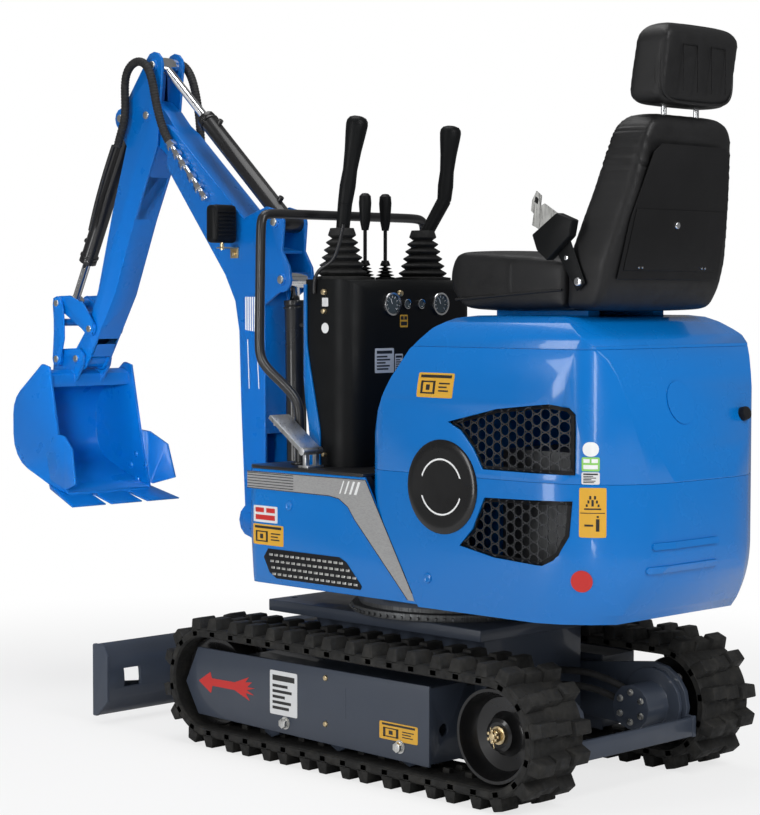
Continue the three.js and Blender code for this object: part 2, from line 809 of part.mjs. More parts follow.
function hoodBlock(wall) {
  const plan = planPlate(inset(hoodPlan, wall), hoodBottom - 80, hoodTop + 20);
  const profile = sidePlate(inset(hoodSide, wall), -houseHalfWidth - 10, houseHalfWidth + 10);
  const section = frontPlate(inset(hoodCross, wall), houseRear - 10, hoodFront + 10);
  return plan.intersect(profile).intersect(section);
}

function hoodLayer(outerWall, innerWall, bottom, top) {
  const slab = block(houseRear - 20, hoodFront + 20, -houseHalfWidth - 20, houseHalfWidth + 20, bottom, top);
  return hoodBlock(outerWall).subtract(hoodBlock(innerWall)).intersect(slab);
}

// Outline of a vent on the hood's flank; the two vents curve round the badge.
const ventOutlines = {
  upper: [
    [-300, 868],
    [-340, 850],
    [-378, 812],
    [-408, 764],
    [-661, 764, 8],
    [-661, 910, 30],
    [-600, 919, 20],
    [-450, 903],
  ],
  lower: [
    [-337, 584],
    [-378, 626],
    [-414, 700],
    [-656, 706, 8],
    [-650, 628],
    [-617, 574, 20],
    [-584, 558],
    [-444, 565],
  ],
};

function ventHole(level, side, clearance) {
  const corners = inset(ventOutlines[level], clearance);
  return sidePlate(corners, side * (houseHalfWidth - 130), side * (houseHalfWidth + 10));
}

function ventGrille(level, side) {
  const layer = hoodLayer(1.5, 1.5 + grilleThickness, hoodBottom, lidSeam);
  return layer.intersect(ventHole(level, side, gap));
}

function lowerHood() {
  return cut(
    hoodLayer(0, hoodWall, hoodBottom, hoodSeam),
    aheadOfSeam(0, floorTop + gap),
    ventHole("lower", 1, 0),
    ventHole("lower", -1, 0),
  );
}

function upperHood() {
  return cut(
    hoodLayer(0, hoodWall, hoodSeam + gap, lidSeam),
    ventHole("upper", 1, 0),
    ventHole("upper", -1, 0),
  );
}

function badge(side) {
  const face = houseHalfWidth + gap;
  return join(
    crossBar(badgeCentre, badgeRadius, side * face, side * (face + badgeThickness - 2), 20),
    crossBar(badgeCentre, badgeRadius - 4, side * face, side * (face + badgeThickness), 20),
  );
}

// ---------------------------------------------------------------- seat

const seatBottom = hoodTop + seatRailHeight + gap;

function seatDeck() {
  const rails = [-120, 120].map((y) => block(-560, -280, y - 20, y + 20, hoodTop - 4, hoodTop + seatRailHeight));
  return join(hoodLayer(0, hoodWall, lidSeam + gap, hoodTop + 10), ...rails);
}

function seatCushion() {
  const corners = [
    [-552, seatBottom],
    [-235, seatBottom, 20],
    [-158, seatBottom + 65, 40],
    [-200, cushionTop, 45],
    [-552, cushionTop - 25, 10],
  ];
  const plan = [
    [-560, -cushionHalfWidth],
    [-150, -cushionHalfWidth + 12, 70],
    [-150, cushionHalfWidth - 12, 70],
    [-560, cushionHalfWidth],
  ];
  return sidePlate(corners, -cushionHalfWidth, cushionHalfWidth)
    .intersect(planPlate(plan, seatBottom - 5, cushionTop + 5));
}

const backTop = 1540;
const headrestBottom = 1585;

function seatBack() {
  const profile = [
    [-552 - gap, seatBottom],
    [-560, 1245],
    [-650, backTop, 30],
    [-752, backTop, 30],
    [-668, 1180, 60],
    [-640, seatBottom, 30],
  ];
  const outline = [
    [-218, seatBottom, 10],
    [218, seatBottom, 10],
    [220, 1235, 60],
    [150, backTop, 70],
    [-150, backTop, 70],
    [-220, 1235, 60],
  ];
  const posts = [-60, 60].map((y) => bar([-710, y, backTop - 20], [-710, y, headrestBottom - gap], 7, 7, 10));
  return join(
    sidePlate(profile, -230, 230).intersect(frontPlate(outline, -800, -500)),
    ...posts,
  );
}

function headrest() {
  const profile = [
    [-655, headrestBottom, 25],
    [-692, 1765, 35],
    [-782, 1765, 30],
    [-752, headrestBottom, 20],
  ];
  const outline = [
    [-headrestHalfWidth + 8, headrestBottom, 30],
    [headrestHalfWidth - 8, headrestBottom, 30],
    [headrestHalfWidth, 1765, 40],
    [-headrestHalfWidth, 1765, 40],
  ];
  return sidePlate(profile, -150, 150).intersect(frontPlate(outline, -800, -600));
}

function beltBuckle() {
  const plate = [
    [-605, 1176, 8],
    [-575, 1176, 8],
    [-535, 1262, 8],
    [-565, 1268, 8],
  ];
  return join(
    sidePlate(plate, 220 + gap, 229),
    block(-575, -528, 220 + gap, 246, 1250, 1325),
    sidePlate([[-562, 1320], [-532, 1320], [-530, 1390, 6], [-560, 1390, 6]], 231, 235),
  );
}

// ---------------------------------------------------------------- console and controls

const consolePlan = [
  [consoleRear, -consoleHalfWidth, 60],
  [consoleFront, -consoleHalfWidth, 45],
  [consoleFront, consoleHalfWidth, 45],
  [consoleRear, consoleHalfWidth, 60],
];

const consoleSide = [
  [consoleRear, floorTop - 60],
  [consoleFront - 52, floorTop - 60],
  [consoleFront - 52, 818, 120],
  [consoleFront, 1039, 200],
  [consoleFront, consoleTop, 20],
  [consoleRear, consoleTop, 35],
];

function consoleBlock(wall) {
  const plan = planPlate(inset(consolePlan, wall), floorTop - 80, consoleTop + 20);
  return plan.intersect(sidePlate(inset(consoleSide, wall), -consoleHalfWidth - 20, consoleHalfWidth + 20));
}

function consoleShell() {
  const above = block(0, 400, -300, 300, floorTop + gap, consoleTop + 20);
  return consoleBlock(0).subtract(consoleBlock(consoleWall)).intersect(above);
}

// Sheet steel cowl wrapped round the front of the console, with a flange down each side.
function consoleCowl() {
  const flange = 32;
  const region = [
    [consoleFront - 52 - flange, floorTop + gap],
    [consoleFront + 30, floorTop + gap],
    [consoleFront + 30, consoleTop - 12],
    [consoleFront - flange, consoleTop - 12],
    [consoleFront - flange, 1039, 200],
    [consoleFront - 52 - flange, 818, 120],
  ];
  return consoleBlock(-cowlWall - gap)
    .subtract(consoleBlock(-gap))
    .intersect(sidePlate(region, -300, 300));
}

function handrail() {
  const [footX, footY] = railFoot;
  const half = [
    [footX, footY, floorTop + gap],
    [footX, footY, 880],
    [railX + 7, railY, 1003],
    [railX, railY, railTop],
  ];
  const mirrored = half.map(([x, y, z]) => [x, -y, z]).reverse();
  return bentTube([...half, ...mirrored], railRadius, 42, 22, 8);
}

// A rubber bellows on the console's top, as [radius, height] steps.
const bellows = [[0, 0], [75, 0], [75, 10], [56, 30], [62, 50], [42, 72], [46, 92], [27, 116], [27, 130],
  [0, 130]];

function joystick(side, elbow, top) {
  const base = consoleTop + gap;
  const y = side * leverY;
  const boot = turnedUpright(leverX, y, bellows.map(([radius, height]) => [radius, base + height]), 12);
  const collar = [leverX, y, base + 110];
  return join(
    boot,
    bar(collar, elbow, 24, 18, 10),
    bar(elbow, top, 19, 26, 10),
    turnedUpright(elbow[0], elbow[1], [[0, elbow[2] - 18], [13, elbow[2] - 13], [18.5, elbow[2]],
      [13, elbow[2] + 13], [0, elbow[2] + 18]], 8),
  );
}

function smallLever(side) {
  const base = consoleTop + gap;
  const y = side * smallLeverY;
  return turnedUpright(smallLeverX, y, [
    [0, base],
    [26, base],
    [20, base + 14],
    [22, base + 22],
    [9, base + 42],
    [5, base + 46],
    [5, base + 128],
    [11, base + 132],
    [17, base + 210],
    [13, base + 222],
    [0, base + 226],
  ], 10);
}

function footPedal() {
  const base = floorTop + gap;
  const hinge = [205, base + 42];
  const plate = [
    [hinge[0] - 4, hinge[1] + 4],
    [hinge[0] + 4, hinge[1] - 4],
    [hinge[0] + 122, hinge[1] + 78],
    [hinge[0] + 116, hinge[1] + 86],
  ];
  return join(
    block(hinge[0] - 18, hinge[0] + 18, 262, 316, base, base + 6),
    block(hinge[0] - 6, hinge[0] + 6, 266, 278, base, hinge[1]),
    block(hinge[0] - 6, hinge[0] + 6, 300, 312, base, hinge[1]),
    crossBar(hinge, 10, 256, 322, 14),
    sidePlate(plate, 256, 322),
  );
}

// ---------------------------------------------------------------- boom

// The box of the boom, from the foot pin up the front edge and back down the rear edge.
const boomCore = [
  [boomFoot[0] - 39, boomFoot[1]],
  [boomFoot[0] + 38, boomFoot[1]],
  [745, 860, 900],
  [755, 1150, 260],
  [905, 1333],
  [boomBoxEnd, 1522],
  [boomBoxEnd, 1645],
  [1020, 1618],
  [672, 1318, 60],
  [646, 1150, 300],
  [646, 620],
];

function boom() {
  const bracket = [
    [670, 1120],
    [600, 1162],
    [545, 1190],
    [549, 1235],
    [578, 1280],
    [571, 1350],
    [588, 1387],
    [640, 1400],
    [730, 1372],
  ];
  const tongue = [
    [boomBoxEnd - 40, 1510],
    [boomBoxEnd, 1545],
    [boomTip[0] + 32, boomTip[1] - 33],
    [boomTip[0] - 20, boomTip[1] + 41],
    [boomBoxEnd + 22, 1682],
    [boomBoxEnd - 40, 1618],
  ];
  const walls = sidePlate(boomCore, -boomInnerY - 1, boomInnerY + 1)
    .subtract(sidePlate(inset(boomCore, boomPlate), -boomInnerY - 2, boomInnerY + 2));
  const rearOpening = block(596, 694, -boomInnerY, boomInnerY, 440, 784);
  const footOpening = block(600, 800, -boomInnerY, boomInnerY, 450, boomFoot[1] + 25);
  const clevisWeb = sidePlate([[585, 1272], [668, 1284], [668, 1292], [585, 1280]], -boomInnerY - 1, boomInnerY + 1);
  return join(
    ...platePair(boomCore, [[boomFoot, 39]], boomInnerY, boomOuterY),
    ...platePair(bracket, [[boomRamTip, 34], [armRamBase, 34]], boomInnerY, boomOuterY),
    cut(walls, rearOpening, footOpening),
    clevisWeb,
    crossBar(boomFoot, 30, -bracketInnerY + gap, bracketInnerY - gap),
    sidePlate(tongue, -boomTongueY, boomTongueY),
    crossBar(boomTip, 45, -boomTongueY, boomTongueY),
    crossBar(boomTip, 25, -armInnerY + gap, armInnerY - gap),
    ...pinHeads(boomRamTip, boomOuterY),
    ...pinHeads(armRamBase, boomOuterY),
  );
}

function workLight() {
  const face = boomOuterY + gap;
  return join(
    block(745, 790, 50, 138, 1302, 1408),
    block(752, 782, face, 120, 1297, 1304),
    block(752, 782, face, face + 5, 1258, 1304),
  );
}

// ---------------------------------------------------------------- arm and linkage

function arm() {
  const outline = [
    [1084, 1808],
    [1098, 1690],
    [1107, 1585],
    [1211, 1379],
    [1308, 1161],
    [1374, 1058],
    [1441, 956],
    [1508, 986],
    [1436, 1068],
    [1386, 1173],
    [1316, 1400],
    [1247, 1592],
    [1291, 1652],
    [1262, 1702],
    [1158, 1826],
  ];
  const core = [
    [1150, 1500],
    [1211, 1379],
    [1308, 1161],
    [1374, 1058],
    [1420, 985],
    [1470, 1020],
    [1436, 1068],
    [1386, 1173],
    [1316, 1400],
    [1281, 1500],
  ];
  const walls = sidePlate(core, -armInnerY - 1, armInnerY + 1)
    .subtract(sidePlate(inset(core, 7), -armInnerY - 2, armInnerY + 2));
  const lowerOpening = block(1380, 1520, -armInnerY, armInnerY, 940, 1030);
  const discs = [[armRamTip, 38], [bucketRamBase, 30], [bucketPivot, 36], [guidePivot, 24]];
  return join(
    ...platePair(outline, discs, armInnerY, armOuterY),
    cut(walls, lowerOpening),
    crossBar(bucketPivot, 26, -armInnerY - 1, armInnerY + 1),
    ...[armRamTip, bucketRamBase, boomTip].flatMap((place) => pinHeads(place, armOuterY)),
  );
}

function between([xA, zA], [xB, zB], share) {
  return [xA + (xB - xA) * share, zA + (zB - zA) * share];
}

// The four sides of a strip between two pins.
function strip(from, to, fromHalf, toHalf) {
  const along = new THREE.Vector2(to[0] - from[0], to[1] - from[1]).normalize();
  const side = ([x, z], half) => [x - along.y * half, z + along.x * half];
  return [side(from, fromHalf), side(from, -fromHalf), side(to, -toHalf), side(to, toHalf)];
}

function guideLink() {
  return join(
    ...platePair(strip(guidePivot, bucketRamTip, 20, 20), [[guidePivot, 22], [bucketRamTip, 22]],
      guideInnerY, guideOuterY),
    crossBar(between(guidePivot, bucketRamTip, 0.52), 12, -guideInnerY - 1, guideInnerY + 1, 16),
    ...[-1, 1].flatMap((side) => [
      crossBar(guidePivot, 16, side * (armOuterY + gap), side * (guideInnerY + 1), 16),
      crossBar(bucketRamTip, 15, side * (20 + gap), side * (guideInnerY + 1), 16),
    ]),
    ...pinHeads(guidePivot, guideOuterY, 12),
  );
}

function bucketLink() {
  const brace = between(bucketRamTip, linkPivot, 58 / 168);
  return join(
    ...platePair(strip(bucketRamTip, linkPivot, 18, 18), [[bucketRamTip, 20], [linkPivot, 20]],
      linkInnerY, linkOuterY),
    crossBar(brace, 11, -linkInnerY - 1, linkInnerY + 1, 16),
    ...[-1, 1].flatMap((side) => [
      crossBar(bucketRamTip, 14, side * (guideOuterY + gap), side * (linkInnerY + 1), 16),
      crossBar(linkPivot, 14, side * (earOuterY + gap), side * (linkInnerY + 1), 16),
    ]),
    ...pinHeads(bucketRamTip, linkOuterY, 15),
    ...pinHeads(linkPivot, linkOuterY, 15),
  );
}

// ---------------------------------------------------------------- bucket

// The rolled shell, from the lip round the back to the top; the mouth faces the machine.
const bucketRoll = [
  [1250, 530.2],
  [1468, 598],
  [bucketBack, 668, 110],
  [bucketBack, 848, 90],
  [1535, 938],
  [1250, 938],
];

function tooth(innerY, outerY, tipInnerY, tipOuterY) {
  const slope = [[1478, 602], [1470, 587], [toothReach, 546], [toothReach - 2, 550], [1462, 598]];
  const plan = [[1480, innerY], [1480, outerY], [toothReach - 5, tipOuterY], [toothReach - 5, tipInnerY]];
  return sidePlate(slope, -toothSpread - 5, toothSpread + 5).intersect(planPlate(plan, 500, 700));
}

function sideCutter(side) {
  const outline = [
    [1438, 752],
    [1478, 690],
    [1462, 618],
    [1385, 590],
    [1308, 612],
    [1334, 712],
    [1395, 748],
  ];
  const plan = [
    [1480, side * (bucketHalfWidth - 1)],
    [1480, side * (bucketHalfWidth + 7)],
    [1392, side * (bucketHalfWidth + 7)],
    [1306, side * (bucketHalfWidth + 33)],
    [1306, side * (bucketHalfWidth + 26)],
    [1392, side * (bucketHalfWidth - 1)],
  ];
  return sidePlate(outline, side * (bucketHalfWidth - 5), side * (bucketHalfWidth + 40))
    .intersect(planPlate(plan, 560, 780));
}

function bucket() {
  const innerY = bucketHalfWidth - bucketWall;
  const cheek = [
    [1388, 578],
    [1468, 598],
    [bucketBack, 668, 110],
    [bucketBack, 848, 90],
    [1535, 938],
    [1509, 958, 14],
    [1474, 949],
    [1432, 750],
  ];
  const mouth = [[1516, 1000], [1516, 932], [1383, 566], [1383, 540], [1700, 540], [1700, 1000]];
  const shell = sidePlate(bucketRoll, -innerY - 1, innerY + 1)
    .subtract(sidePlate(inset(bucketRoll, bucketWall), -innerY - 2, innerY + 2))
    .intersect(sidePlate(mouth, -innerY - 3, innerY + 3));
  const shelf = [[1487, 888], [1600, 884], [1535, 938], [1512, 938], [1487, 925]];
  const ear = [
    [1449, 950],
    [1487, 900],
    [1600, 884],
    [1590, 975],
    [linkPivot[0], linkPivot[1] + 30],
    [bucketPivot[0], bucketPivot[1] + 32],
  ];
  return join(
    shell,
    ...platePair(cheek, [], innerY, bucketHalfWidth),
    sidePlate(shelf, -innerY - 1, innerY + 1),
    ...platePair(ear, [[bucketPivot, 32], [linkPivot, 30]], guideInnerY, earOuterY),
    ...[-1, 1].map((side) => crossBar(bucketPivot, 22, side * (armOuterY + gap), side * (guideInnerY + 1), 16)),
    ...pinHeads(bucketPivot, earOuterY, 12),
    tooth(-54, 54, -58, 58),
    tooth(64, bucketHalfWidth, 78, toothSpread),
    tooth(-bucketHalfWidth, -64, -toothSpread, -78),
    sideCutter(1),
    sideCutter(-1),
  );
}

// ---------------------------------------------------------------- cylinders

const bladeRam = ram({
  base: bladeRamBase,
  tip: bladeRamTip,
  barrelRadius: 24,
  rodRadius: 11,
  barrelLength: 225,
  retract: 60,
  baseEye: { radius: 24, halfWidth: 30 - gap },
  tipEye: { radius: 19, halfWidth: 22 - gap },
});

const boomRam = ram({
  base: boomRamBase,
  tip: boomRamTip,
  barrelRadius: 28,
  rodRadius: 14,
  barrelLength: 562,
  retract: 30,
  baseEye: { radius: 30, halfWidth: bracketInnerY - gap },
  tipEye: { radius: 24, halfWidth: boomInnerY - gap },
});

const armRam = ram({
  base: armRamBase,
  tip: armRamTip,
  barrelRadius: 25,
  rodRadius: 12,
  barrelLength: 451,
  retract: 165,
  baseEye: { radius: 28, halfWidth: boomInnerY - gap },
  tipEye: { radius: 24, halfWidth: armInnerY - gap },
});

const bucketRam = ram({
  base: bucketRamBase,
  tip: bucketRamTip,
  barrelRadius: 25,
  rodRadius: 12,
  barrelLength: 469,
  retract: 60,
  baseEye: { radius: 26, halfWidth: armInnerY - gap },
  tipEye: { radius: 22, halfWidth: 20 },
});

// ---------------------------------------------------------------- the machine

const bodyMiddle = (houseRear + bucketBack) / 2;
machine.position.set(-bodyMiddle, 0, 0);

addPiece(machine, "centre_frame", centreFrame(), chassisGrey);
addPiece(machine, "slew_ring", slewRing(), steel);
for (const [name, side] of sides) {
  addPiece(machine, `track_${name}`, track(side), trackRubber);
  addPiece(machine, `track_frame_${name}`, trackFrame(side), chassisGrey);
  addPiece(machine, `sprocket_${name}`, sprocket(side), castBlack);
  addPiece(machine, `idler_${name}`, idler(side), castBlack);
  addPiece(machine, `travel_motor_${name}`, travelMotor(side), chassisGrey);
}
const rearBarX = sprocketX - motorPlateRadius - 18;
const rearBarY = motorPlateY - motorPlateThickness - gap;
addPiece(machine, "rear_crossbar", block(rearBarX, rearBarX + 12, -rearBarY, rearBarY, 101, 148), chassisGrey);

const bladeGroup = jointGroup(machine, at(bladePivot, 0));
addPiece(bladeGroup, "dozer_blade", dozerBlade(), chassisGrey);
const bladeBarrelGroup = jointGroup(machine, at(bladeRamBase, 0));
addPiece(bladeBarrelGroup, "blade_cylinder_barrel", bladeRam.barrel, barrelBlack);
addPiece(bladeBarrelGroup, "blade_cylinder_rod", bladeRam.rod, chrome);

const house = jointGroup(machine, [0, 0, topPlateTop]);
addPiece(house, "revolving_deck", revolvingDeck(), chassisGrey);
addPiece(house, "boom_bracket", boomBracket(), boomBlue);
addPiece(house, "floor_plate", floorPlate(), castBlack);
addPiece(house, "lower_hood", lowerHood(), hoodBlue);
addPiece(house, "upper_hood", upperHood(), hoodBlue);
addPiece(house, "engine_block", block(-650, -330, -170, 170, deckTop + gap, 800), engineIron);
for (const [name, side] of sides) {
  addPiece(house, `side_panel_${name}`, sidePanel(side), hoodBlue);
  addPiece(house, `upper_grille_${name}`, ventGrille("upper", side), grilleBlack);
  addPiece(house, `lower_grille_${name}`, ventGrille("lower", side), grilleBlack);
  addPiece(house, `hood_badge_${name}`, badge(side), castBlack);
  addPiece(house, `small_lever_${name}`, smallLever(side), gripRubber);
}
addPiece(house, "joystick_left", joystick(1, [226, 150, 1392], [203, 127, 1606]), gripRubber);
addPiece(house, "joystick_right", joystick(-1, [207, -196, 1410], [200, -214, 1600]), gripRubber);
addPiece(house, "console_shell", consoleShell(), consoleBlack);
addPiece(house, "console_cowl", consoleCowl(), hoodBlue);
addPiece(house, "handrail", handrail(), castBlack);
addPiece(house, "foot_pedal", footPedal(), zinc);

const seatGroup = jointGroup(house, at(seatTilt, 0));
addPiece(seatGroup, "seat_deck", seatDeck(), hoodBlue);
addPiece(seatGroup, "seat_cushion", seatCushion(), seatLeather);
addPiece(seatGroup, "seat_back", seatBack(), seatLeather);
addPiece(seatGroup, "headrest", headrest(), seatLeather);
addPiece(seatGroup, "belt_buckle", beltBuckle(), consoleBlack);

const boomGroup = jointGroup(house, at(boomFoot, 0));
addPiece(boomGroup, "boom", boom(), boomBlue);
addPiece(boomGroup, "work_light", workLight(), castBlack);
const boomBarrelGroup = jointGroup(house, at(boomRamBase, 0));
addPiece(boomBarrelGroup, "boom_cylinder_barrel", boomRam.barrel, barrelBlack);
addPiece(boomBarrelGroup, "boom_cylinder_rod", boomRam.rod, chrome);

const armBarrelGroup = jointGroup(boomGroup, at(armRamBase, 0));
addPiece(armBarrelGroup, "arm_cylinder_barrel", armRam.barrel, barrelBlack);
addPiece(armBarrelGroup, "arm_cylinder_rod", armRam.rod, chrome);
const armGroup = jointGroup(boomGroup, at(boomTip, 0));
addPiece(armGroup, "arm", arm(), boomBlue);
const bucketBarrelGroup = jointGroup(armGroup, at(bucketRamBase, 0));
addPiece(bucketBarrelGroup, "bucket_cylinder_barrel", bucketRam.barrel, barrelBlack);
addPiece(bucketBarrelGroup, "bucket_cylinder_rod", bucketRam.rod, chrome);
const guideGroup = jointGroup(armGroup, at(guidePivot, 0));
addPiece(guideGroup, "guide_link", guideLink(), boomBlue);
const linkGroup = jointGroup(guideGroup, at(bucketRamTip, 0));
addPiece(linkGroup, "bucket_link", bucketLink(), boomBlue);
const bucketGroup = jointGroup(armGroup, at(bucketPivot, 0));
addPiece(bucketGroup, "bucket", bucket(), boomBlue);

export default machine;
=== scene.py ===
"""Looks of a compact tracked digger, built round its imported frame."""
import json
import math

import bmesh
import bpy
from bpy.props import FloatProperty, FloatVectorProperty, PointerProperty
from mathutils import Matrix, Vector
from mathutils.bvhtree import BVHTree


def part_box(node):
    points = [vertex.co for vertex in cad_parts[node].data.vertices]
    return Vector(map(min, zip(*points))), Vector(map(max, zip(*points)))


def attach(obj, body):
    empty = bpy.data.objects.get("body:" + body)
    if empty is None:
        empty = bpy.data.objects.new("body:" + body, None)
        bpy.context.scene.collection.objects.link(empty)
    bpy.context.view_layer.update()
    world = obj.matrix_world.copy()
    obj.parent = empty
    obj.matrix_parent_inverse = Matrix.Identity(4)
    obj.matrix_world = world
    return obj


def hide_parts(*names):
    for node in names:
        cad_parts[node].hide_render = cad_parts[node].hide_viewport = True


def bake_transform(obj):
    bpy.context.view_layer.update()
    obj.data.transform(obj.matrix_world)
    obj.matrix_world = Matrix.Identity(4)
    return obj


bl_info = {
    "name": "Compact digger looks",
    "version": (1, 0, 0),
    "blender": (4, 5, 0),
    "location": "View3D > Sidebar > Digger",
    "description": "Paint, rubber, seat, hoses and trim for a compact tracked digger",
    "category": "Add Mesh",
}

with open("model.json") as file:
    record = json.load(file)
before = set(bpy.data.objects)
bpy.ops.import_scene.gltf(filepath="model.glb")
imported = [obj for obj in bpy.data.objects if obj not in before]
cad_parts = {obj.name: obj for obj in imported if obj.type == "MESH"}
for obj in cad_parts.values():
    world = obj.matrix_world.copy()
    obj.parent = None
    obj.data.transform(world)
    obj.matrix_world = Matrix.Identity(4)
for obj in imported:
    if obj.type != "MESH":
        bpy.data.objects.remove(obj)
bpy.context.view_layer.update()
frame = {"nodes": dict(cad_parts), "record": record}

JOINTS = {joint["name"]: joint for joint in frame["record"]["behaviour"]["joints"]}
BODY_OF = {
    node: body
    for body, nodes in frame["record"]["behaviour"]["bodies"].items()
    for node in nodes
}
SLEW_X = JOINTS["slew"]["pos_m"][0]
SIDES = (("left", 1), ("right", -1))


def place(x, y, z):
    """A point in the machine's own millimetres, from the slew axis and the ground."""
    return Vector((SLEW_X + x / 1000, y / 1000, z / 1000))


# ------------------------------------------------------------------ materials

class Shader:
    """A Principled material and short ways to drive its sockets."""

    def __init__(self, name, colour, roughness=0.5, metallic=0.0, **sockets):
        self.material = bpy.data.materials.new(name)
        self.material.use_nodes = True
        tree = self.material.node_tree
        self.nodes, self.links = tree.nodes, tree.links
        self.surface = self.nodes["Principled BSDF"]
        self.surface.inputs["Base Color"].default_value = (*colour, 1)
        self.surface.inputs["Roughness"].default_value = roughness
        self.surface.inputs["Metallic"].default_value = metallic
        for socket, value in sockets.items():
            self.surface.inputs[socket.replace("_", " ").title()].default_value = value
        self.place = self.nodes.new("ShaderNodeTexCoord").outputs["Object"]

    def dull(self, level):
        self.surface.inputs["Specular IOR Level"].default_value = level
        return self

    def noise(self, scale, detail=3.0, stretch=None):
        node = self.nodes.new("ShaderNodeTexNoise")
        node.inputs["Scale"].default_value = scale
        node.inputs["Detail"].default_value = detail
        self.links.new(self.stretched(stretch), node.inputs["Vector"])
        return node.outputs["Fac"]

    def cells(self, scale, feature="F1", stretch=None):
        node = self.nodes.new("ShaderNodeTexVoronoi")
        node.feature = feature
        node.inputs["Scale"].default_value = scale
        self.links.new(self.stretched(stretch), node.inputs["Vector"])
        return node.outputs["Distance"]

    def stretched(self, stretch):
        if stretch is None:
            return self.place
        node = self.nodes.new("ShaderNodeMapping")
        node.inputs["Scale"].default_value = stretch
        self.links.new(self.place, node.inputs["Vector"])
        return node.outputs["Vector"]

    def ranged(self, value, low, high, to_low, to_high):
        node = self.nodes.new("ShaderNodeMapRange")
        for socket, number in zip(("From Min", "From Max", "To Min", "To Max"), (low, high, to_low, to_high)):
            node.inputs[socket].default_value = number
        self.links.new(value, node.inputs["Value"])
        return node.outputs["Result"]

    def tint(self, mask, colour):
        """Mixes a second colour over the base colour where the mask is high."""
        node = self.nodes.new("ShaderNodeMix")
        node.data_type = "RGBA"
        base = self.surface.inputs["Base Color"]
        if base.is_linked:
            self.links.new(base.links[0].from_socket, node.inputs["A"])
        else:
            node.inputs["A"].default_value = base.default_value
        node.inputs["B"].default_value = (*colour, 1)
        self.links.new(mask, node.inputs["Factor"])
        self.links.new(node.outputs["Result"], base)
        return self

    def rough(self, value, low, high, smooth, dull):
        self.links.new(self.ranged(value, low, high, smooth, dull), self.surface.inputs["Roughness"])
        return self

    def bump(self, height, distance, strength=1.0):
        node = self.nodes.new("ShaderNodeBump")
        node.inputs["Distance"].default_value = distance
        node.inputs["Strength"].default_value = strength
        self.links.new(height, node.inputs["Height"])
        normal = self.surface.inputs["Normal"]
        if normal.is_linked:
            self.links.new(normal.links[0].from_socket, node.inputs["Normal"])
        self.links.new(node.outputs["Normal"], normal)
        return self


def scaled(colour, factor):
    return tuple(channel * factor for channel in colour)


def enamel(name, colour, roughness, gloss):
    """Sprayed enamel: slight orange peel, cloudy gloss and a little dust in the broad areas."""
    paint = Shader(name, colour, roughness, coat_weight=gloss).dull(0.3)
    paint.surface.inputs["Coat Roughness"].default_value = 0.05
    paint.tint(paint.ranged(paint.noise(2.2, 4), 0.35, 0.75, 0.0, 0.2), scaled(colour, 0.82))
    paint.tint(paint.ranged(paint.noise(160, 6), 0.66, 0.8, 0.0, 0.16), scaled(colour, 1.35))
    paint.rough(paint.noise(9, 4), 0.35, 0.7, roughness * 0.85, roughness * 1.3)
    paint.bump(paint.noise(420, 2), 0.00025, 0.25)
    return paint.material


def worn_rubber(name, colour, dust, amount):
    rubber = Shader(name, colour, 0.75).dull(0.35)
    rubber.tint(rubber.ranged(rubber.noise(26, 8), 0.48, 0.72, 0.0, amount), dust)
    rubber.tint(rubber.ranged(rubber.noise(240, 4), 0.58, 0.75, 0.0, amount * 0.6), scaled(dust, 1.3))
    rubber.rough(rubber.noise(60, 5), 0.3, 0.7, 0.55, 0.9)
    rubber.bump(rubber.noise(700, 5), 0.0006, 0.5)
    rubber.bump(rubber.noise(90, 4), 0.0015, 0.35)
    return rubber.material


def moulded(name, colour, roughness, grain, depth):
    plastic = Shader(name, colour, roughness).dull(0.12)
    plastic.tint(plastic.ranged(plastic.noise(5, 4), 0.4, 0.75, 0.0, 0.5), scaled(colour, 1.6))
    plastic.rough(plastic.noise(18, 4), 0.3, 0.7, roughness * 0.85, roughness * 1.2)
    plastic.bump(plastic.cells(grain), depth, 0.5)
    return plastic.material


def leatherette(name, colour):
    hide = Shader(name, colour, 0.42).dull(0.3)
    hide.tint(hide.ranged(hide.noise(7, 4), 0.4, 0.75, 0.0, 0.5), scaled(colour, 1.7))
    hide.rough(hide.noise(30, 5), 0.3, 0.7, 0.34, 0.52)
    hide.bump(hide.cells(520, "DISTANCE_TO_EDGE"), 0.0006, 0.7)
    hide.bump(hide.noise(34, 3), 0.0012, 0.25)
    return hide.material


def bare_metal(name, colour, roughness, scratch):
    metal = Shader(name, colour, roughness, 1.0)
    metal.tint(metal.ranged(metal.noise(40, 6), 0.45, 0.75, 0.0, 0.4), scaled(colour, 0.6))
    metal.rough(metal.noise(260, 4, (1, 1, 0.08)), 0.3, 0.7, roughness * 0.7, roughness * 1.5)
    metal.bump(metal.noise(900, 3, (1, 1, 0.1)), 0.0002, scratch)
    return metal.material


def printed(name, colour, ink=None, scale=60.0, amount=0.7):
    """A printed film sticker; an ink breaks it up into rows that stand for fine print."""
    film = Shader(name, colour, 0.4)
    film.tint(film.ranged(film.noise(30, 3), 0.4, 0.7, 0.0, 0.15), scaled(colour, 0.8))
    if ink:
        rows = film.ranged(film.noise(scale, 1, (1, 1, 9)), 0.53, 0.56, 0.0, amount)
        film.tint(rows, ink)
    film.bump(film.noise(300, 2), 0.0001, 0.2)
    return film.material


# ------------------------------------------------------------------ shape tools

def rotation_to(direction):
    return Vector((0, 0, 1)).rotation_difference(Vector(direction)).to_matrix().to_4x4()


